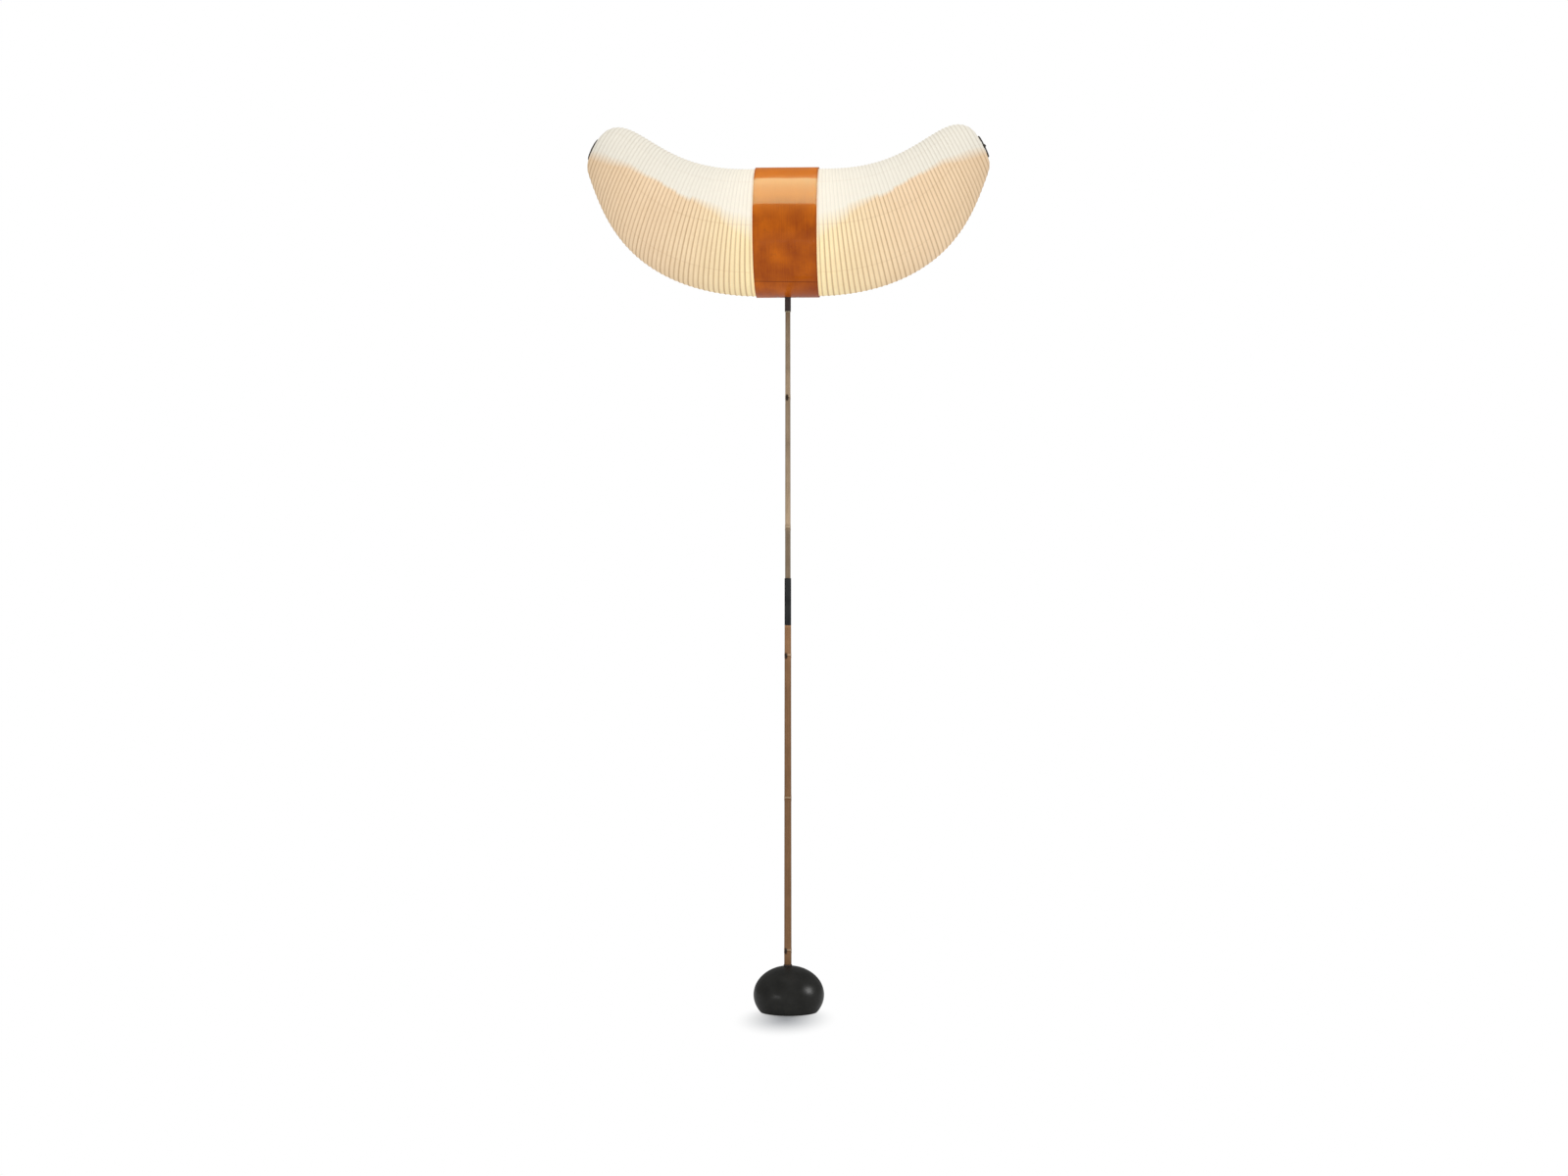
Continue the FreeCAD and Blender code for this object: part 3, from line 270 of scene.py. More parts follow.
class Wiring:
    """Adds nodes to one tree; most calls give the output that the next one reads."""

    def __init__(self, tree):
        self.tree = tree

    def feed(self, target, inputs):
        """Links each input of a node to an output, or sets its plain value."""
        for socket, source in inputs.items():
            if hasattr(source, "is_output"):
                self.tree.links.new(source, target.inputs[socket])
            else:
                target.inputs[socket].default_value = source
        return target

    def add(self, kind, inputs=(), **values):
        """A node with its properties set and its inputs fed."""
        made = self.tree.nodes.new(kind)
        for word, value in values.items():
            setattr(made, word, value)
        return self.feed(made, dict(inputs))

    def maths(self, operation, *values):
        return self.add("ShaderNodeMath", dict(enumerate(values)), operation=operation).outputs[0]

    def plus(self, first, second):
        return self.maths("ADD", first, second)

    def minus(self, first, second):
        return self.maths("SUBTRACT", first, second)

    def times(self, first, second):
        return self.maths("MULTIPLY", first, second)

    def times_plus(self, first, second, third):
        return self.maths("MULTIPLY_ADD", first, second, third)

    def away(self, value, middle=None):
        """How far a value is from a middle one, or from 0."""
        return self.maths("ABSOLUTE", value if middle is None else self.minus(value, middle))

    def spread(self, source, low, high, to_low=0.0, to_high=1.0):
        """Moves low..high to to_low..to_high, and holds at the ends."""
        return self.add("ShaderNodeMapRange", {
            0: source, 1: low, 2: high, 3: to_low, 4: to_high}, clamp=True).outputs[0]

    def mix(self, share, first, second, blend="MIX"):
        return self.add("ShaderNodeMix", {0: share, 6: first, 7: second},
                        data_type="RGBA", blend_type=blend).outputs[2]

    def vector(self, operation, *values):
        made = self.add("ShaderNodeVectorMath", dict(enumerate(values)), operation=operation)
        return made.outputs["Value" if operation == "LENGTH" else "Vector"]

    def parts(self, place):
        return self.add("ShaderNodeSeparateXYZ", {0: place}).outputs

    def noise(self, place, scale, detail, **more):
        return self.add("ShaderNodeTexNoise", {
            "Vector": place, "Scale": scale, "Detail": detail, **more}).outputs[0]

    def chance(self, number):
        """A random share that stays the same for the same number."""
        return self.add("ShaderNodeTexWhiteNoise", {"W": number}, noise_dimensions="1D").outputs["Value"]

    def place(self):
        return self.add("ShaderNodeTexCoord").outputs["Object"]

    def attribute(self, name):
        return self.add("ShaderNodeAttribute", attribute_name=name).outputs["Vector"]

    def group(self, shared, inputs):
        """The outputs of a shared group, placed with its own values."""
        return self.add("ShaderNodeGroup", inputs, node_tree=shared).outputs

    def dress(self, shader, colour, roughness, height, distance, strength=1.0):
        """Gives the shader its colour, roughness and bump."""
        relief = self.add("ShaderNodeBump", {"Height": height, "Distance": distance, "Strength": strength})
        self.feed(shader, {"Base Color": colour, "Roughness": roughness, "Normal": relief.outputs[0]})


# ---------------------------------------------------------------- shared node groups

def new_group(name, light, dark, **numbers):
    """A shader node group from a place, two colours and numbers to a colour, a roughness and a height."""
    group = bpy.data.node_groups.new(name, "ShaderNodeTree")
    inputs = [("Place", "Vector", None), ("Light", "Color", light), ("Dark", "Color", dark)]
    inputs += [(word.replace("_", " "), "Float", number) for word, number in numbers.items()]
    for word, kind, default in inputs:
        socket = group.interface.new_socket(name=word, in_out="INPUT", socket_type=f"NodeSocket{kind}")
        if default is not None:
            socket.default_value = default
    for word, kind in (("Colour", "Color"), ("Roughness", "Float"), ("Height", "Float")):
        group.interface.new_socket(name=word, in_out="OUTPUT", socket_type=f"NodeSocket{kind}")
    entry = group.nodes.new("NodeGroupInput").outputs
    leave = group.nodes.new("NodeGroupOutput")
    return group, Wiring(group), entry, leave


@cache
def mottle_group():
    """Soft blotches of two colours with a fine tooth, for lacquer, iron, plastic and glass."""
    group, wire, entry, leave = new_group(
        "mottle", (0.5, 0.5, 0.5, 1), (0.3, 0.3, 0.3, 1),
        Blotch_Scale=30.0, Tooth_Scale=900.0, Smooth=0.3, Rough=0.5)
    blotch = wire.spread(wire.noise(entry["Place"], entry["Blotch Scale"], 4.0), 0.3, 0.7)
    tooth = wire.noise(entry["Place"], entry["Tooth Scale"], 2.0)
    both = wire.times_plus(tooth, 0.4, wire.times(blotch, 0.6))
    wire.feed(leave, {
        "Colour": wire.mix(blotch, entry["Dark"], entry["Light"]),
        "Roughness": wire.spread(both, 0.0, 1.0, entry["Smooth"], entry["Rough"]), "Height": tooth})
    return group


@cache
def grain_group():
    """Long wood or cane fibres that run along the place's Z, with pores and slow colour changes."""
    group, wire, entry, leave = new_group(
        "grain", (0.5, 0.4, 0.2, 1), (0.3, 0.2, 0.1, 1),
        Fibre_Scale=900.0, Stretch=0.03, Cloud_Scale=12.0, Cloud_Share=0.5)
    stretch = wire.add("ShaderNodeCombineXYZ", {0: 1.0, 1: 1.0, 2: entry["Stretch"]})
    place = wire.vector("MULTIPLY", entry["Place"], stretch.outputs[0])
    fibre = wire.spread(wire.noise(place, entry["Fibre Scale"], 5.0, Roughness=0.6), 0.32, 0.68)
    cloud = wire.spread(wire.noise(entry["Place"], entry["Cloud Scale"], 3.0), 0.3, 0.7)
    pores = wire.spread(wire.noise(place, wire.times(entry["Fibre Scale"], 2.3), 2.0), 0.68, 0.78)
    share = wire.add("ShaderNodeMix", {0: entry["Cloud Share"], 2: fibre, 3: cloud}).outputs[0]
    colour = wire.mix(share, entry["Dark"], entry["Light"])
    wire.feed(leave, {
        "Colour": wire.mix(wire.times(pores, 0.35), colour, entry["Dark"]),
        "Roughness": wire.times_plus(fibre, 0.15, wire.times_plus(pores, 0.15, 0.33)),
        "Height": wire.minus(fibre, pores)})
    return group


# ---------------------------------------------------------------- finishes

def new_material(name, **plain):
    """A material with a Principled shader; plain values go straight on its sockets."""
    material = bpy.data.materials.new(name)
    material.use_nodes = True
    shader = next(item for item in material.node_tree.nodes if item.type == "BSDF_PRINCIPLED")
    for word, value in plain.items():
        shader.inputs[word.replace("_", " ")].default_value = value
    return material, Wiring(material.node_tree), shader


def mottled(name, light, dark, smooth, rough, blotch=30.0, tooth=900.0, depth=0.00003, **plain):
    """A finish from the mottle group; the depth of its tooth is in metres."""
    material, wire, shader = new_material(name, **plain)
    group = wire.group(mottle_group(), {
        "Place": wire.place(), "Light": rgba(light), "Dark": rgba(dark), "Blotch Scale": blotch,
        "Tooth Scale": tooth, "Smooth": smooth, "Rough": rough})
    wire.dress(shader, group["Colour"], group["Roughness"], group["Height"], depth)
    return material


# light and dark colour, lowest and highest roughness, then what differs from mottled's own values
MOTTLED = {
    "dark_lacquer": ((0.062, 0.048, 0.046), (0.042, 0.032, 0.030), 0.3, 0.44, {
        "tooth": 1500.0, "Specular_IOR_Level": 0.08}),
    "black_sleeve": ((0.032, 0.032, 0.031), (0.020, 0.020, 0.020), 0.28, 0.42, {
        "blotch": 60.0, "tooth": 2000.0, "Specular_IOR_Level": 0.08}),
    "turned_steel": ((0.62, 0.61, 0.6), (0.5, 0.49, 0.48), 0.25, 0.42, {
        "blotch": 140.0, "tooth": 2600.0, "depth": 0.00001, "Metallic": 1.0}),
    "dark_wire": ((0.1, 0.09, 0.08), (0.05, 0.045, 0.04), 0.3, 0.45, {
        "blotch": 120.0, "tooth": 2000.0, "depth": 0.00001, "Metallic": 0.6}),
    "plain_brass": ((0.82, 0.74, 0.56), (0.70, 0.60, 0.40), 0.25, 0.42, {
        "blotch": 90.0, "tooth": 2600.0, "depth": 0.00001, "Metallic": 1.0}),
    "pad_rubber": ((0.045, 0.045, 0.045), (0.03, 0.03, 0.03), 0.6, 0.8, {"tooth": 1800.0, "depth": 0.00008}),
    "black_thermoset": ((0.03, 0.03, 0.03), (0.02, 0.02, 0.02), 0.25, 0.4, {"tooth": 1400.0}),
    "white_ceramic": ((0.88, 0.86, 0.82), (0.8, 0.77, 0.72), 0.15, 0.3, {"tooth": 700.0}),
    "opal_glass": ((0.96, 0.94, 0.88), (0.92, 0.89, 0.82), 0.1, 0.2, {
        "tooth": 300.0, "depth": 0.00001, "Emission_Color": (1.0, 0.86, 0.62, 1.0), "Emission_Strength": 6.0}),
}


def strip_material():
    """Split bamboo strip, pale, with fibres along it."""
    material, wire, shader = new_material("bamboo_strip")
    group = wire.group(grain_group(), {
        "Place": wire.place(), "Light": (0.68, 0.52, 0.3, 1), "Dark": (0.5, 0.34, 0.16, 1)})
    wire.dress(shader, group["Colour"], group["Roughness"], group["Height"], 0.00005)
    return material


@cache
def finish(name):
    """A plain finish by name, made once for all its pieces."""
    if name == "bamboo_strip":
        return strip_material()
    *looks, more = MOTTLED[name]
    return mottled(name, *looks, **more)


def cane_material(name, low, high, colour, tones, rings, scars):
    """Bamboo: fibres along the cane, tones that change with height, node rings, dark bud scars.

    Heights are in metres above the floor. The tones are (height, factor on the colour) pairs from foot to
    top, the rings are heights, and the scars are points on the cane, each at a ring of its own.
    """
    material, wire, shader = new_material(name, Specular_IOR_Level=0.1)
    place = wire.place()
    height = wire.parts(place)[2]
    ramp = wire.add("ShaderNodeValToRGB", {0: wire.spread(height, low, high)})
    stops = ramp.color_ramp.elements
    while len(stops) < len(tones):
        stops.new(0.5)
    for stop, (level, factor) in zip(stops, tones):
        stop.position = (level - low) / (high - low)
        stop.color = rgba(colour, factor)
    tone = ramp.outputs[0]
    group = wire.group(grain_group(), {
        "Place": place, "Light": wire.mix(1.0, tone, (1.26, 1.26, 1.26, 1.0), "MULTIPLY"),
        "Dark": wire.mix(1.0, tone, (0.68, 0.66, 0.63, 1.0), "MULTIPLY"),
        "Fibre Scale": 1100.0, "Stretch": 0.014, "Cloud Scale": 26.0, "Cloud Share": 0.35})
    shade = group["Colour"]
    wobble = wire.minus(wire.noise(place, 160.0, 3.0), 0.5)

    # each node: a thin dark ring, and a pale bloom just above it
    for level in (*rings, *(spot[2] for spot in scars)):
        over = wire.times_plus(wobble, 0.003, wire.minus(height, level))
        dark = wire.spread(wire.away(over), 0.0003, 0.0014, 0.7, 0.0)
        shade = wire.mix(dark, shade, (0.62, 0.52, 0.42, 1.0), "MULTIPLY")
        bloom = wire.spread(wire.away(over, 0.0026), 0.0005, 0.0018, 0.55, 0.0)
        shade = wire.mix(bloom, shade, (0.55, 0.44, 0.30, 1.0))

    # each bud scar: a dark oval, taller than wide, with an uneven edge
    for spot in scars:
        off = wire.vector("MULTIPLY", wire.vector("SUBTRACT", place, spot), (1.0, 1.0, 0.55))
        off = wire.times_plus(wobble, 0.0025, wire.vector("LENGTH", off))
        shade = wire.mix(wire.spread(off, 0.0026, 0.0046, 0.95, 0.0), shade, (0.022, 0.014, 0.010, 1.0))
    wire.dress(shader, shade, group["Roughness"], group["Height"], 0.00005, 0.6)
    return material


def veneer_material(settings):
    """Amber lacquered veneer; its own attribute carries the place across the band and round it."""
    material, wire, shader = new_material(
        "amber_veneer", Specular_IOR_Level=0.03, Coat_Weight=0.2, Coat_Roughness=0.07)
    place = wire.attribute("veneer_place")
    across, _, around = wire.parts(place)
    group = wire.group(grain_group(), {
        "Place": place, "Light": rgba(settings.amber), "Dark": rgba(settings.brown),
        "Fibre Scale": 420.0, "Stretch": 0.05, "Cloud Scale": 15.0, "Cloud Share": 0.78})
    spots = wire.spread(wire.noise(place, 60.0, 5.0, Roughness=0.65), 0.55, 0.75)
    from_top = wire.away(around)
    # painted shade: darker towards the bottom of the band and on its right side
    painted_low_right_shade = wire.times(wire.spread(across, -0.06, 0.065, 0.08, 0.6), wire.spread(from_top, 0.16, 0.34))
    lap = wire.times_plus(across, 0.03, wire.plus(around, 0.341))
    colour = group["Colour"]
    for share, tone in (  # spots, painted light on the lighter golden top, painted shade darker low and to the right, painted shadow at the rims, and the seam of the lap
            (wire.times(spots, 0.45), rgba(settings.brown, 0.8)),
            (wire.spread(from_top, 0.145, 0.195, 0.8, 0.0), rgba(settings.lit_top_golden)),
            (painted_low_right_shade, rgba(settings.brown)),
            # painted shadow line along both rims of the band
            (wire.spread(wire.away(across), 0.0615, 0.0655, 0.0, 0.45), rgba(settings.brown, 0.55)),
            (wire.spread(wire.away(lap), 0.0004, 0.0013, 0.75, 0.0), rgba(settings.brown, 0.35))):
        colour = wire.mix(share, colour, tone)
    rough = wire.times_plus(spots, 0.12, wire.times(group["Roughness"], 0.85))
    wire.dress(shader, colour, rough, group["Height"], 0.00008, 0.5)
    return material


def paper_material(settings):
    """Handmade paper, whiter above and thin and tan below, partly a backed upper sheet and partly painted light
    from above; its ribs, fibres and seams show.

    The paper's own attribute carries the rib number and the sine and cosine of the place round the rib.
    """
    material, wire, shader = new_material("handmade_paper", Specular_IOR_Level=0.12)
    mix, spread, plus, minus = wire.mix, wire.spread, wire.plus, wire.minus
    times, times_plus = wire.times, wire.times_plus
    place = wire.place()
    run, side, up = wire.parts(wire.attribute("paper_place"))
    share = wire.maths("DIVIDE", run, float(settings.rib_count))

    # the ribs: a thin dark line at every whole rib number, some fainter than others
    off = wire.away(wire.maths("FRACT", plus(run, 0.5)), 0.5)
    strength = spread(wire.chance(wire.maths("ROUND", run)), 0.0, 1.0, 0.72, 1.0)
    rib = times(spread(off, 0.06, 0.24, 1.0, 0.0), strength)

    # edge between the whiter upper paper and the tan lower paper, partly a backed sheet and partly painted
    # light from above: a torn line that steps a little at every fourth rib
    jog = wire.chance(wire.maths("FLOOR", wire.maths("DIVIDE", run, 4.0)))
    torn = wire.noise(place, 90.0, 4.0)
    middle = minus(share, 0.5)
    bow = times(middle, middle)
    rise = times_plus(bow, -1.76, 0.325)
    left_half = spread(wire.parts(place)[0], -0.01, 0.01, -0.03, 0.0)
    rise = minus(plus(rise, left_half), spread(share, 0.75, 1.0, 0.0, 0.30))
    line = plus(rise, times_plus(jog, 0.05, times(torn, 0.03)))
    softness = times_plus(bow, 0.8, 0.03)
    upper = spread(wire.maths("DIVIDE", minus(up, line), softness), -1.0, 1.0)

    # colours: thin paper, with painted lamplight beside the band, clouded, and with painted shade that makes it
    # greyer to the tips; the upper paper, partly backed and partly painted light; pale fibres over both
    ribs = rgba(settings.rib_colour)
    cloud = wire.noise(place, 14.0, 4.0)
    fibre = wire.noise(wire.vector("MULTIPLY", place, (1.0, 1.0, 3.5)), 240.0, 6.0,
                       Roughness=0.7, Distortion=1.2)
    fibres = spread(fibre, 0.42, 0.7)
    near = spread(share, 0.0, 0.55, 1.0, 0.0)
    near = times(near, near)
    low = mix(near, rgba(settings.lower_colour), rgba(settings.lit_colour))
    low = mix(spread(cloud, 0.3, 0.7, 0.0, 0.16), low, rgba(settings.rib_colour, 1.25))
    # painted shade: the thin paper greyer and darker towards the tips
    painted_tip_shade = mix(1.0, low, (0.90, 0.89, 0.89, 1.0), "MULTIPLY")
    low = mix(spread(share, 0.6, 1.0), low, painted_tip_shade)
    low = mix(times(rib, 0.85), low, ribs)
    high = mix(spread(share, 0.1, 0.9), rgba(settings.upper_colour), rgba(settings.upper_colour, 0.94))
    shade = times(rib, spread(share, 0.0, 0.7, 0.09, 0.42))
    high = mix(shade, high, (0.50, 0.44, 0.34, 1.0))
    colour = mix(upper, low, high)
    colour = mix(times(fibres, 0.16), colour, (1.0, 0.95, 0.86, 1.0))

    # lengthwise seams where the strips of paper overlap
    strips = 8
    turn = wire.maths("ARCTAN2", side, up)
    seam = wire.maths("FRACT", times_plus(turn, strips / (2 * math.pi), 0.5))
    seams = spread(wire.away(seam, 0.5), 0.006, 0.02, 1.0, 0.0)
    seams_seen = times(seams, spread(upper, 0.0, 1.0, 0.16, 0.08))
    colour = mix(seams_seen, colour, ribs)

    # painted lamplight: a warm glow through the paper beside the band and, fainter, over the lower half, but
    # not through the ribs
    glow = times_plus(near, 0.08, spread(run, 0.75, 1.0, 0.12, 0.0))
    glow = times_plus(minus(1.0, upper), 0.07, glow)
    glow = times(glow, minus(1.0, times(rib, 0.6)))
    warm = mix(glow, (0.0, 0.0, 0.0, 1.0), (1.0, 0.72, 0.34, 1.0))
    wire.feed(shader, {"Emission Color": warm, "Emission Strength": 1.0})
    height = times_plus(fibres, 0.4, times_plus(seams, 1.0, times(rib, 0.8)))
    wire.dress(shader, colour, spread(fibre, 0.3, 0.7, 0.78, 0.92), height, 0.00025, 0.7)
    return material


# ---------------------------------------------------------------- pieces

def spine_point(share):
    """A point of the shade's spine, a curve from inside the band to the tip ring."""
    lean = bpy.context.scene.lamp_shade.lean
    heading = math.radians(5.3)
    root_x, root_reach, tip_reach, inside_ring = 0.0615, 0.260, 0.057, 0.0018
    root = Vector((root_x, 0, HEAD_Z))
    tip = Vector((TIP_X, 0, TIP_Z)) - Vector((math.cos(lean), 0, math.sin(lean))) * inside_ring
    root_handle = root + Vector((root_reach, 0, 0))
    tip_handle = tip - Vector((math.cos(heading), 0, math.sin(heading))) * tip_reach
    rest = 1 - share
    return (root * rest**3 + root_handle * (3 * share * rest**2)
            + tip_handle * (3 * share**2 * rest) + tip * share**3)


def even_points(count):
    """Points that divide the spine into equal lengths."""
    fine = 1200
    points = [spine_point(step / fine) for step in range(fine + 1)]
    run = [0.0]
    for first, second in zip(points, points[1:]):
        run.append(run[-1] + (second - first).length)
    found = []
    step = 0
    for index in range(count + 1):
        want = run[-1] * index / count
        while step < fine - 1 and run[step + 1] < want:
            step += 1
        part = (want - run[step]) / (run[step + 1] - run[step])
        found.append(points[step].lerp(points[step + 1], min(max(part, 0.0), 1.0)))
    return found


def rib_radius(settings, along):
    """Radius of the shade, which narrows slowly at first and rounds off at the tip."""
    late, rounded = 1.78, 2.31
    taper = max(0.0, 1 - along**late)
    return settings.tip_radius + (settings.root_radius - settings.tip_radius) * taper ** (1 / rounded)


def rib_lean(settings, along):
    """Lean of a rib, which grows from none at the band to the full lean just before the tip."""
    full_at = 0.95
    ease = min(along / full_at, 1.0)
    return settings.lean * (1 - (1 - ease) ** 2)


class OBJECT_OT_lamp_paper_shade(bpy.types.Operator):
    """Both halves of the pleated paper shade, built stretched open; the real ones fold up along their arms"""
    bl_idname = "object.lamp_paper_shade"
    bl_label = "Paper shade"

    def execute(self, context):
        settings = context.scene.lamp_shade
        steps = settings.rib_count * settings.between
        centres = even_points(steps)
        right = start_edit(
            "paper_right", bpy.ops.mesh.primitive_circle_add, vertices=settings.around,
            radius=settings.root_radius, location=centres[0], rotation=(0, math.pi / 2, 0))
        before_radius, before_lean = settings.root_radius, 0.0
        for step in range(1, steps + 1):
            along = step / steps
            sag = settings.pleat_depth * math.sin(math.pi * (step % settings.between) / settings.between)
            radius = rib_radius(settings, along) - sag
            lean = rib_lean(settings, along)
            shift = centres[step] - centres[step - 1]
            bpy.ops.mesh.extrude_region_move(TRANSFORM_OT_translate={"value": shift})
            share = radius / before_radius
            bpy.ops.transform.resize(value=(share, share, share), center_override=centres[step])
            bpy.ops.transform.rotate(
                value=lean - before_lean, orient_axis="Y", orient_type="GLOBAL", center_override=centres[step])
            before_radius, before_lean = radius, lean
        bpy.ops.object.mode_set(mode="OBJECT")
        places = right.data.attributes.new("paper_place", "FLOAT_VECTOR", "POINT")
        for index, corner in enumerate(right.data.vertices):
            step = index // settings.around
            lean = rib_lean(settings, step / steps)
            up = Vector((-math.sin(lean), 0, math.cos(lean)))
            outward = (corner.co - centres[step]).normalized()
            places.data[index].vector = (step / settings.between, outward.y, outward.dot(up))
        face_out(right)
        apply_modifier(right, "SOLIDIFY", thickness=settings.paper, offset=-1.0)
        smooth(right, 60)
        left = copied(right, "paper_left")
        paper = paper_material(settings)
        for piece, side, word in ((right, 1, "right"), (left, -1, "left")):
            finish_piece(piece, None, paper, "paper", f"{word}_shade")
            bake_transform(piece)
        return {"FINISHED"}


class OBJECT_OT_lamp_tip_rings(bpy.types.Operator):
    """Wire rings at the tips, each with a bar and an eye that slides on the arm"""
    bl_idname = "object.lamp_tip_rings"
    bl_label = "Tip rings"

    def execute(self, context):
        lean = context.scene.lamp_shade.lean
        centre = (TIP_X, 0, TIP_Z)
        ring_radius = 0.0229
        ring = end_edit(start_edit(
            "tip_ring_right", bpy.ops.mesh.primitive_torus_add, location=centre,
            rotation=(0, math.pi / 2 - lean, 0), major_segments=72, minor_segments=14,
            major_radius=ring_radius, minor_radius=0.0015))
        bar = end_edit(start_edit(
            "tip_bar", bpy.ops.mesh.primitive_cylinder_add, vertices=16, radius=0.0011,
            depth=2 * ring_radius, location=centre, rotation=(math.pi / 2, 0, 0)))
        eye = end_edit(start_edit(
            "tip_eye", bpy.ops.mesh.primitive_cylinder_add, vertices=32, radius=0.0036, depth=0.006,
            location=centre, rotation=(0, math.pi / 2 - ARM_SLOPE, 0), end_fill_type="NOTHING"))
        apply_modifier(eye, "SOLIDIFY", thickness=0.0017, offset=-1.0)
        apply_modifier(eye, "BEVEL", width=0.0004, segments=2, limit_method="ANGLE")
        alone(ring)
        for part in (bar, eye):
            part.select_set(True)
        bpy.ops.object.join()
        smooth(ring, 40)
        twin = copied(ring, "tip_ring_left")
        finish_piece(ring, "right_tip", finish("dark_wire"), "wire", "right_tip_ring")
        finish_piece(twin, "left_tip", finish("dark_wire"), "wire", "left_tip_ring")
        return {"FINISHED"}


class OBJECT_OT_lamp_band(bpy.types.Operator):
    """The bent veneer band between the two halves"""
    bl_idname = "object.lamp_band"
    bl_label = "Veneer band"

    def execute(self, context):
        settings = context.scene.lamp_band
        half = (BAND_HIGH.x - BAND_LOW.x) / 2
        radius = (BAND_HIGH.z - BAND_LOW.z) / 2
        stem_hole, outlet_hole, punch_length, cells = 0.0066, 0.00565, 0.02, 6
        band = start_edit(
            "veneer_band", bpy.ops.mesh.primitive_cylinder_add, vertices=settings.around, radius=radius,
            depth=2 * half, location=(0, 0, HEAD_Z), rotation=(0, math.pi / 2, 0), end_fill_type="NOTHING")
        for cut in range(1 - cells, cells):
            bpy.ops.mesh.select_all(action="SELECT")
            bpy.ops.mesh.bisect(plane_co=(half * cut / cells, 0, 0), plane_no=(1, 0, 0))
        end_edit(band, weld=SPECK)
        apply_modifier(band, "SOLIDIFY", thickness=settings.thickness, offset=-1.0)
        apply_modifier(
            band, "BEVEL", width=0.0005, segments=2, limit_method="ANGLE", angle_limit=math.radians(50))
        outlet_low, outlet_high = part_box("lead_grommet")
        outlet_spot = (outlet_low + outlet_high) / 2
        outlet_angle = math.atan2(outlet_spot.y, HEAD_Z - outlet_spot.z)
        for hole, angle in ((stem_hole, 0.0), (outlet_hole, outlet_angle)):
            bpy.ops.object.select_all(action="DESELECT")
            bpy.ops.mesh.primitive_cylinder_add(
                vertices=48, radius=hole, depth=punch_length, rotation=(angle, 0, 0),
                location=(0, radius * math.sin(angle), HEAD_Z - radius * math.cos(angle)))
            punch = bpy.context.object
            apply_modifier(band, "BOOLEAN", operation="DIFFERENCE", object=punch, solver="EXACT")
            bpy.data.objects.remove(punch, do_unlink=True)
        places = band.data.attributes.new("veneer_place", "FLOAT_VECTOR", "POINT")
        for index, corner in enumerate(band.data.vertices):
            turn = math.atan2(corner.co.y, corner.co.z - HEAD_Z)
            depth = math.hypot(corner.co.y, corner.co.z - HEAD_Z)
            places.data[index].vector = (corner.co.x, depth - radius, turn * radius)
        smooth(band, 30)
        finish_piece(band, "head", veneer_material(settings), "veneer", "band")
        return {"FINISHED"}


# a bamboo node's outline: metres above its middle, and the share of the swell there
NODE_OUTLINE = (
    (-0.009, 0.0), (-0.004, 0.3), (-0.0018, 0.95), (-0.0009, 0.55), (-0.0003, -0.25),
    (0.0003, -0.1), (0.0010, 0.75), (0.0022, 1.0), (0.0040, 0.5), (0.009, 0.05))


def cane_outline(foot, top, foot_radius, top_radius, nodes, swell):
    """Outline of a bamboo cane: slow taper, a raised ring and a groove at each node, softened ends."""
    def radius(height):
        return foot_radius + (top_radius - foot_radius) * (height - foot) / (top - foot)

    edge_in, edge_up, gaps, clear_of_node = 0.0004, 0.0005, 18, 0.012
    heights = [(level + away, out) for level in nodes for away, out in NODE_OUTLINE]
    for step in range(1, gaps):
        height = foot + (top - foot) * step / gaps
        if all(abs(height - level) > clear_of_node for level in nodes):
            heights.append((height, 0.0))
    return [
        (radius(foot) - edge_in, foot), (radius(foot), foot + edge_up),
        *((radius(height) + swell * out, height) for height, out in sorted(heights)),
        (radius(top), top - edge_up), (radius(top) - edge_in, top)]


def bud(across, radius, height):
    """A bud scar's place on the front of a cane, so far to the right of its axis."""
    return (across, -math.sqrt(radius**2 - across**2), height)


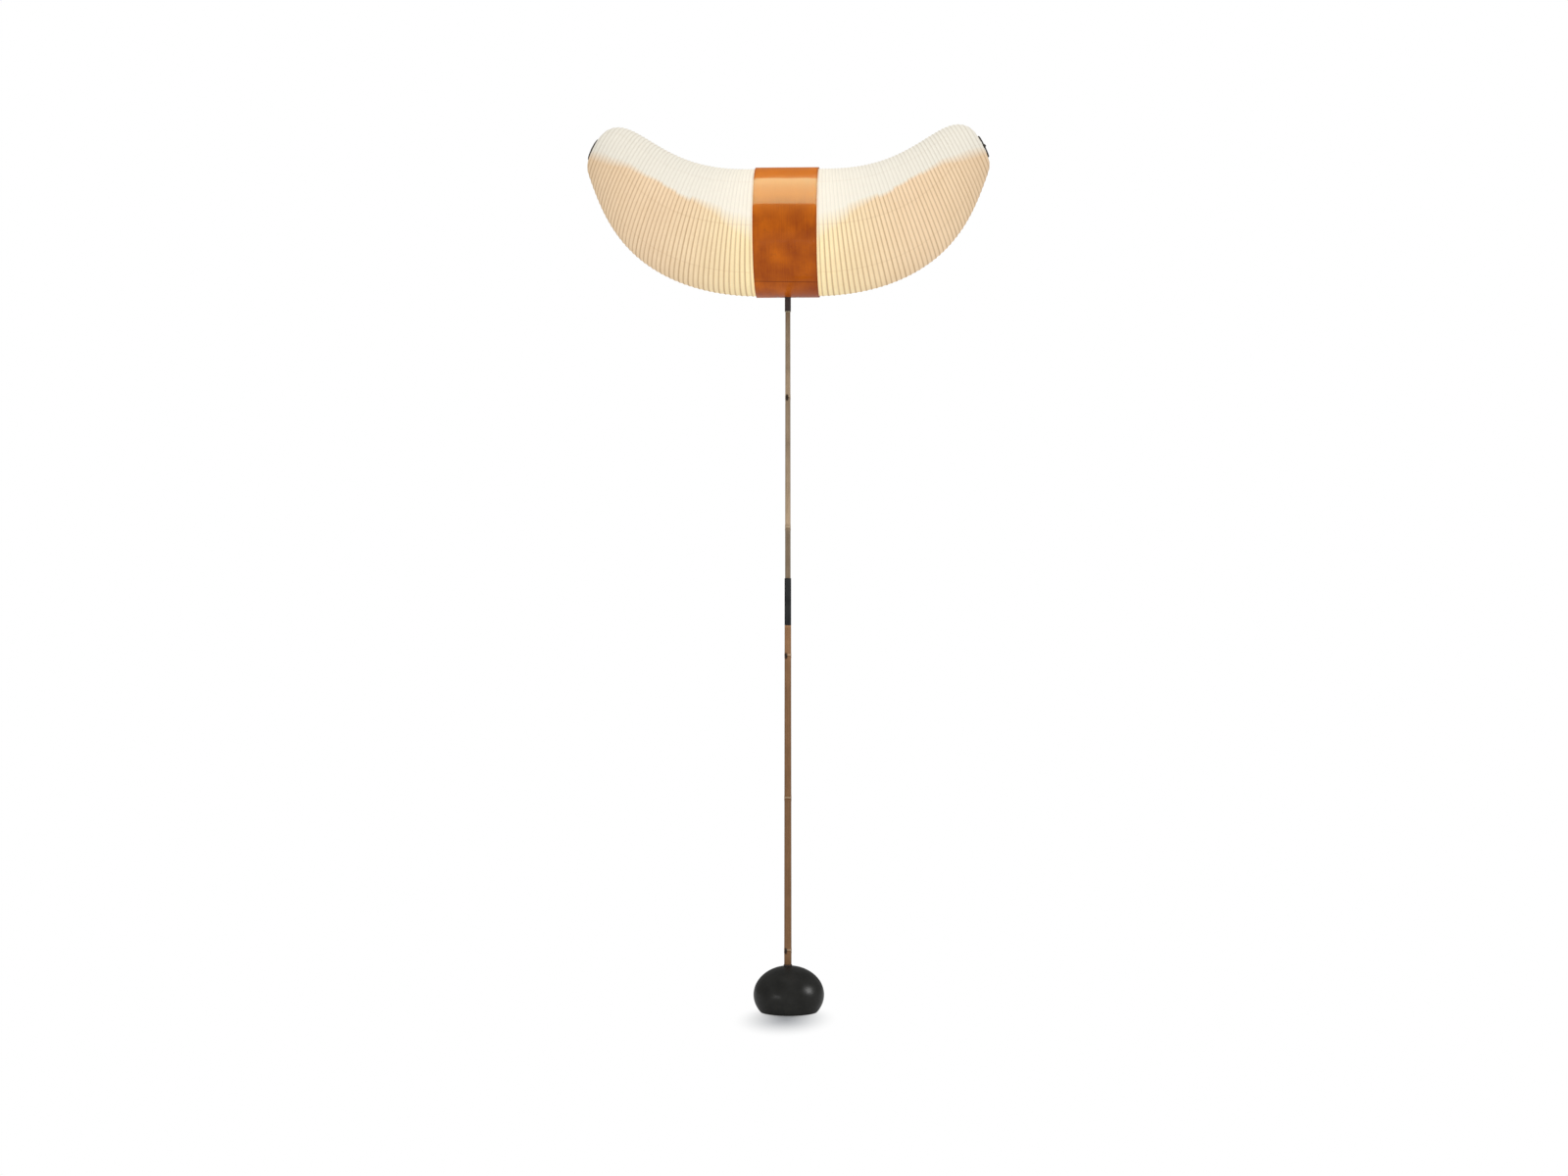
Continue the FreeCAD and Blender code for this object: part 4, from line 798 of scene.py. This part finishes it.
class OBJECT_OT_lamp_canes(bpy.types.Operator):
    """The two bamboo canes of the pole"""
    bl_idname = "object.lamp_canes"
    bl_label = "Bamboo canes"

    def execute(self, context):
        settings = context.scene.lamp_pole
        sleeve_low, sleeve_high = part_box("joint_sleeve")
        lower_low, lower_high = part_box("lower_rod")
        upper_low, upper_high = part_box("upper_rod")
        foot = lower_low.z
        low_bud, low_ring, high_bud = foot + 0.028, foot + 0.345, foot + 0.642
        ring, scar = sleeve_high.z + 0.104, sleeve_high.z + 0.376
        tenon, edge = 0.00585, 0.0004  # radius of the turned ends in the sleeve, and their softened edge
        lower_radii, upper_radii = (0.0076, 0.0068), (0.00575, 0.0052)  # at the foot and at the top
        swell, around = settings.node_swell, settings.around
        lower = turn_up("lower_cane", [
            *cane_outline(foot, sleeve_low.z, *lower_radii, (low_bud, low_ring, high_bud), swell),
            (tenon, sleeve_low.z), (tenon, lower_high.z - edge), (tenon - edge, lower_high.z)], around)
        upper = turn_up("upper_cane", [
            (tenon - edge, upper_low.z), (tenon, upper_low.z + edge), (tenon, sleeve_high.z),
            *cane_outline(sleeve_high.z, upper_high.z, *upper_radii, (ring, scar), swell)], around)
        for piece in (lower, upper):
            smooth(piece, 50)
        tan = cane_material(
            "tan_bamboo", foot, sleeve_low.z, settings.lower_colour,
            [(foot, 1.0), (low_ring, 0.98), (high_bud - 0.012, 1.1), (high_bud + 0.03, 1.45),
             (sleeve_low.z - 0.006, 1.45), (sleeve_low.z - 0.002, 2.1)],
            rings=[low_ring], scars=[bud(-0.0042, 0.0075, low_bud), bud(-0.0036, 0.0069, high_bud)])
        pale = cane_material(
            "grey_bamboo", sleeve_high.z, upper_high.z, settings.upper_colour,
            [(sleeve_high.z, 0.76), (ring - 0.006, 0.76), (ring + 0.012, 1.5), (ring + 0.17, 1.0),
             (scar - 0.004, 1.0), (scar + 0.012, 1.4), (scar + 0.06, 1.0), (upper_high.z, 0.84)],
            rings=[ring], scars=[bud(-0.0014, 0.0054, scar)])
        finish_piece(lower, "lower_pole", tan, "bamboo_dark", "lower_rod")
        finish_piece(upper, "upper_pole", pale, "bamboo_pale", "upper_rod")
        return {"FINISHED"}


class OBJECT_OT_lamp_turnings(bpy.types.Operator):
    """The joint sleeve, the collar on the base, the swivel bush and the stem"""
    bl_idname = "object.lamp_turnings"
    bl_label = "Sleeve, collar and stem"

    def execute(self, context):
        around = 48

        def hollow(name, outer, inner, low, high, edge):
            return turn_up(name, [
                (inner, low + edge), (inner + edge, low), (outer - edge, low), (outer, low + edge),
                (outer, high - edge), (outer - edge, high), (inner + edge, high), (inner, high - edge),
                (inner, low + edge)], around, closed=True)

        low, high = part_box("joint_sleeve")
        sleeve = hollow("joint_tube", high.x, 0.0059, low.z, high.z, edge=0.0004)
        low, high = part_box("head_stem")
        stem = hollow("stem_tube", high.x, 0.0046, low.z, high.z, edge=0.0003)
        low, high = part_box("base_socket")
        bore, bore_floor, flange = 0.00405, high.z - 0.058, high.z - 0.0032
        collar = turn_up("pole_socket", [
            (0.0, low.z), (0.0064, low.z), (0.007, low.z + 0.0006), (0.007, flange), (0.0086, flange),
            (0.009, high.z - 0.0028), (0.009, high.z - 0.0006), (0.0084, high.z), (bore, high.z),
            (bore, bore_floor), (0.0, bore_floor)], around)
        low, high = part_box("swivel_bush")
        bore, rim = 0.00305, low.z + 0.0015
        bush = turn_up("bush_turning", [
            (bore, low.z), (0.0060, low.z), (0.0063, low.z + 0.0003), (0.0063, low.z + 0.0012),
            (0.0060, rim), (0.00445, rim), (0.00445, high.z - 0.0003), (0.0042, high.z),
            (bore, high.z), (bore, low.z)], around, closed=True)
        for piece in (sleeve, stem, collar, bush):
            smooth(piece, 30)
        finish_piece(sleeve, "lower_pole", finish("black_sleeve"), "black_sleeve", "joint_sleeve")
        finish_piece(stem, "head", finish("dark_lacquer"), "dark_steel", "head_stem")
        finish_piece(collar, "base", finish("dark_lacquer"), "dark_steel", "base_socket")
        finish_piece(bush, "swivel", finish("plain_brass"), "brass", "swivel_bush")
        return {"FINISHED"}


class OBJECT_OT_lamp_pebble(bpy.types.Operator):
    """The cast-iron pebble"""
    bl_idname = "object.lamp_pebble"
    bl_label = "Pebble base"

    def execute(self, context):
        settings = context.scene.lamp_base
        rim, rim_width, hollow = 0.0012, 0.0055, 0.0018  # the foot's height, width and depth inside it
        pebble = start_edit(
            "iron_pebble", bpy.ops.mesh.primitive_uv_sphere_add, segments=96, ring_count=72, radius=1.0,
            location=(settings.offset, 0, settings.centre_height),
            scale=(settings.radius, settings.radius, settings.half_height))
        bpy.ops.mesh.bisect(plane_co=(0, 0, rim), plane_no=(0, 0, 1), use_fill=True, clear_inner=True)
        bpy.ops.object.mode_set(mode="OBJECT")
        for face in pebble.data.polygons:
            face.select = face.normal.z < -0.99 and abs(face.center.z - rim) < 1e-4
        bpy.ops.object.mode_set(mode="EDIT")
        bpy.ops.mesh.select_mode(type="FACE")
        bpy.ops.mesh.inset(thickness=rim_width)
        bpy.ops.mesh.extrude_region_move(TRANSFORM_OT_translate={"value": (0, 0, hollow)})
        bpy.ops.mesh.select_mode(type="VERT")
        end_edit(pebble)
        smooth(pebble, 40)
        iron = mottled(
            "rubbed_iron", [channel * 1.4 for channel in settings.iron], settings.iron, 0.26, 0.36,
            blotch=45.0, tooth=1100.0, Specular_IOR_Level=0.09)
        finish_piece(pebble, "base", iron, "cast_iron", "base_casting")
        return {"FINISHED"}


class OBJECT_OT_lamp_arms(bpy.types.Operator):
    """The bent spring wires that the tips slide on"""
    bl_idname = "object.lamp_arms"
    bl_label = "Arms"

    def execute(self, context):
        radius, steps, wire_radius = 0.833, 60, 0.0015
        hub_end, past_ring = 0.009, 0.0052
        centre = Vector((TIP_X - radius * math.sin(ARM_SLOPE), 0, TIP_Z + radius * math.cos(ARM_SLOPE)))
        first = math.asin((hub_end - centre.x) / radius)
        last = ARM_SLOPE + past_ring / radius
        here = centre + Vector((math.sin(first), 0, -math.cos(first))) * radius
        right = start_edit(
            "arm_wire_right", bpy.ops.mesh.primitive_circle_add, vertices=14, radius=wire_radius,
            location=here, rotation=(0, math.pi / 2 - first, 0), fill_type="NGON")
        bpy.ops.mesh.select_mode(type="FACE")
        for step in range(1, steps + 1):
            angle = first + (last - first) * step / steps
            there = centre + Vector((math.sin(angle), 0, -math.cos(angle))) * radius
            bpy.ops.mesh.extrude_region_move(TRANSFORM_OT_translate={"value": there - here})
            bpy.ops.transform.rotate(
                value=(last - first) / steps, orient_axis="Y", orient_type="GLOBAL", center_override=there)
            here = there
        bpy.ops.mesh.select_mode(type="VERT")
        end_edit(right)
        smooth(right, 50)
        left = copied(right, "arm_wire_left")
        finish_piece(right, "head", finish("dark_wire"), "wire", "right_arm")
        finish_piece(left, "head", finish("dark_wire"), "wire", "left_arm")
        return {"FINISHED"}


class OBJECT_OT_lamp_bulb(bpy.types.Operator):
    """The opal globe bulb and its threaded cap"""
    bl_idname = "object.lamp_bulb"
    bl_label = "Bulb"

    def execute(self, context):
        low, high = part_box("bulb_glass")
        ball, neck, neck_top, steps = 0.0225, 0.0069, low.z + 0.005, 24
        flare, flare_height, flare_curve = 0.0052, 0.0075, 1.6
        joins_at, sweep = math.radians(-54), math.radians(144)
        centre = high.z - ball
        outline = [(0.0068, low.z), (neck, neck_top)]
        for share in (0.25, 0.5, 0.75):
            outline.append((neck + flare * share**flare_curve, neck_top + flare_height * share))
        for step in range(steps + 1):
            angle = joins_at + sweep * step / steps
            outline.append((ball * math.cos(angle) if step < steps else 0.0, centre + ball * math.sin(angle)))
        globe = turn_up("bulb_globe", outline, 64)
        smooth(globe, 60)
        finish_piece(globe, "bulb", finish("opal_glass"), "opal_glass", "bulb_glass")

        low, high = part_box("bulb_cap")
        turns, plain_ends = 6, 0.006
        pitch = (high.z - low.z - plain_ends) / turns
        outline = [(0.0040, low.z), (0.0060, low.z + 0.001)]
        for turn in range(turns):
            foot = low.z + 0.002 + turn * pitch
            outline += [(radius, foot + pitch * share) for radius, share in (
                (0.0060, 0.0), (0.0067, 0.3), (0.0068, 0.5), (0.0067, 0.7))]
        outline += [(0.0062, high.z - 0.003), (0.0069, high.z - 0.002), (0.0069, high.z)]
        cap = turn_up("bulb_thread", outline, 40)
        smooth(cap, 50)
        finish_piece(cap, "bulb", finish("plain_brass"), "brass", "bulb_cap")
        return {"FINISHED"}


class OBJECT_OT_lamp_finishes(bpy.types.Operator):
    """Procedural finishes for the CAD pieces that stay on show"""
    bl_idname = "object.lamp_finishes"
    bl_label = "Finishes"

    def execute(self, context):
        nodes_of = {
            "pad_rubber": ("base_foot_pad", "lead_grommet"),
            "dark_lacquer": ("band_saddle", "arm_hub"),
            "dark_wire": ("right_arm_nut", "left_arm_nut"),
            "bamboo_strip": ("right_inner_hoop", "left_inner_hoop"),
            "black_thermoset": ("holder_cap", "holder_skirt"),
            "white_ceramic": ("holder_insert",),
            "plain_brass": ("holder_nipple", "screw_shell", "centre_contact", "bulb_contact"),
        }
        finish_of = {name: word for word, names in nodes_of.items() for name in names}
        for name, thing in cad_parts.items():
            for place in thing.material_slots:
                place.material = finish(finish_of.get(name, "turned_steel"))
        return {"FINISHED"}


# ---------------------------------------------------------------- stage

def area_lamp(name, place, target, width, height, power, colour=(1.0, 1.0, 1.0)):
    """A soft box that the camera doesn't see."""
    data = bpy.data.lights.new(name, "AREA")
    data.shape = "RECTANGLE"
    data.size, data.size_y = width, height
    data.energy = power
    data.color = colour
    lamp = bpy.data.objects.new(name, data)
    bpy.context.scene.collection.objects.link(lamp)
    lamp.location = place
    lamp.visible_camera = False
    lamp.rotation_euler = (Vector(target) - Vector(place)).to_track_quat("-Z", "Y").to_euler()
    return lamp


def gloss_lamp(name, piece, *values):
    """A lamp that only shows as a highlight, on one piece."""
    lamp = area_lamp(name, *values)
    lamp.visible_diffuse = False
    only = bpy.data.collections.new(f"{name}_on")
    only.objects.link(bpy.data.objects[piece])
    lamp.light_linking.receiver_collection = only


def floor_material():
    """A pale floor that the camera sees as white, apart from a soft patch in front of the base where it sees a
    darker, bluish floor: a painted shadow laid under the base's own shadow.
    """
    material, wire, shader = new_material("pale_floor", Roughness=0.75, Specular_IOR_Level=0.1)
    seen = wire.add("ShaderNodeLightPath").outputs["Is Camera Ray"]
    # painted shadow: inside the patch in front of the base, the camera sees the floor darker and bluish
    wire.feed(shader, {"Base Color": wire.mix(seen, (0.86, 0.86, 0.86, 1.0), (0.50, 0.52, 0.545, 1.0))})
    white = wire.add("ShaderNodeEmission", {"Color": (1, 1, 1, 1), "Strength": 1.0})
    painted_shadow_patch = wire.vector("MULTIPLY", wire.vector("ADD", wire.place(), (0, 0.10, 0)), (2.0, 0.95, 0))
    clear = wire.add("ShaderNodeMapRange", {
        0: wire.vector("LENGTH", painted_shadow_patch), 1: -0.02, 2: 0.22, 3: 0.0, 4: 1.0},
        interpolation_type="SMOOTHSTEP").outputs[0]
    both = wire.add("ShaderNodeMixShader", {
        0: wire.times(seen, clear), 1: shader.outputs[0], 2: white.outputs[0]})
    out = next(item for item in material.node_tree.nodes if item.type == "OUTPUT_MATERIAL")
    wire.feed(out, {0: both.outputs[0]})
    return material


class OBJECT_OT_lamp_stage(bpy.types.Operator):
    """Pale floor, soft studio light and the camera"""
    bl_idname = "object.lamp_stage"
    bl_label = "Stage"

    def execute(self, context):
        settings = context.scene.lamp_stage
        scene = context.scene
        bpy.ops.object.select_all(action="DESELECT")
        bpy.ops.mesh.primitive_plane_add(size=60, location=(0, 0, 0))
        floor = context.object
        floor.name = "floor"
        floor.data.materials.append(floor_material())

        # white behind the lamp and through glass, less in reflections, plain light elsewhere
        world = bpy.data.worlds.new("studio")
        scene.world = world
        world.use_nodes = True
        world.node_tree.nodes.clear()
        wire = Wiring(world.node_tree)
        rays = wire.add("ShaderNodeLightPath").outputs
        seen = wire.maths("MAXIMUM", rays["Is Camera Ray"], rays["Is Transmission Ray"])
        strength = wire.times_plus(rays["Is Glossy Ray"], -0.45, wire.times_plus(seen, 0.3, 0.7))
        sky = wire.add("ShaderNodeBackground", {"Color": (1, 1, 1, 1), "Strength": strength})
        wire.add("ShaderNodeOutputWorld", {0: sky.outputs[0]})

        # each lamp: place, target, width, height, watts and colour
        area_lamp("overhead", (0.3, -0.4, 3.7), (0, 0, 1.4), 2.6, 2.6, 16)
        area_lamp("right_box", (2.85, -0.69, 0.68), (0, 0, 0.7), 0.9, 0.9, 8)
        area_lamp("left_box", (-2.3, -2.8, 0.3), (0, 0, 0.9), 1.3, 0.5, 12)
        front = area_lamp("front_box", (0.5, -4.4, 0.4), (0, 0, 1.5), 3.0, 0.8, 34)
        front.visible_glossy = False
        gloss_lamp("band_gloss", "veneer_band", (0, -0.88, 3.8), (0, -0.88, 1.6), 3.4, 2.72, 620,
                   (0.50, 0.88, 0.57))
        gloss_lamp("pebble_gloss_right", "iron_pebble", (2.85, -0.69, 1.3), (0, 0, 0.05), 1.0, 1.0, 100)
        gloss_lamp("pebble_gloss_left", "iron_pebble", (-1.95, -2.7, 0.02), (0, 0, 0.05), 1.1, 0.4, 24)

        data = bpy.data.cameras.new("camera")
        camera = bpy.data.objects.new("camera", data)
        scene.collection.objects.link(camera)
        turn = settings.azimuth
        camera.location = (
            settings.distance * math.sin(turn) + settings.sideways * math.cos(turn),
            -settings.distance * math.cos(turn) + settings.sideways * math.sin(turn), settings.height)
        camera.rotation_euler = (math.pi / 2, 0, turn)
        data.lens = settings.lens
        data.sensor_width = 36.0
        data.clip_end = 100.0
        scene.camera = camera
        scene.view_settings.view_transform = "Standard"
        return {"FINISHED"}


class VIEW3D_PT_lantern_lamp(bpy.types.Panel):
    bl_label = "Lantern Lamp"
    bl_idname = "VIEW3D_PT_lantern_lamp"
    bl_space_type = "VIEW_3D"
    bl_region_type = "UI"
    bl_category = "Lantern Lamp"

    def draw(self, context):
        for word in ("lamp_shade", "lamp_band", "lamp_pole", "lamp_base", "lamp_stage"):
            settings = getattr(context.scene, word)
            box = self.layout.box()
            for name in settings.__annotations__:
                box.prop(settings, name)
        for operator in OPERATORS:
            self.layout.operator(operator.bl_idname)


SETTINGS = {
    "lamp_shade": LampShadeSettings, "lamp_band": LampBandSettings, "lamp_pole": LampPoleSettings,
    "lamp_base": LampBaseSettings, "lamp_stage": LampStageSettings,
}
OPERATORS = (
    OBJECT_OT_lamp_finishes, OBJECT_OT_lamp_pebble, OBJECT_OT_lamp_turnings, OBJECT_OT_lamp_canes,
    OBJECT_OT_lamp_band, OBJECT_OT_lamp_arms, OBJECT_OT_lamp_tip_rings, OBJECT_OT_lamp_bulb,
    OBJECT_OT_lamp_paper_shade, OBJECT_OT_lamp_stage,
)


def register():
    for kind in (*SETTINGS.values(), *OPERATORS, VIEW3D_PT_lantern_lamp):
        bpy.utils.register_class(kind)
    for word, kind in SETTINGS.items():
        setattr(bpy.types.Scene, word, bpy.props.PointerProperty(type=kind))


def unregister():
    for word in SETTINGS:
        delattr(bpy.types.Scene, word)
    for kind in (VIEW3D_PT_lantern_lamp, *reversed(OPERATORS), *SETTINGS.values()):
        bpy.utils.unregister_class(kind)


def main():
    register()
    for operator in OPERATORS:
        group, word = operator.bl_idname.split(".")
        getattr(getattr(bpy.ops, group), word)()


if __name__ == "__main__":
    main()
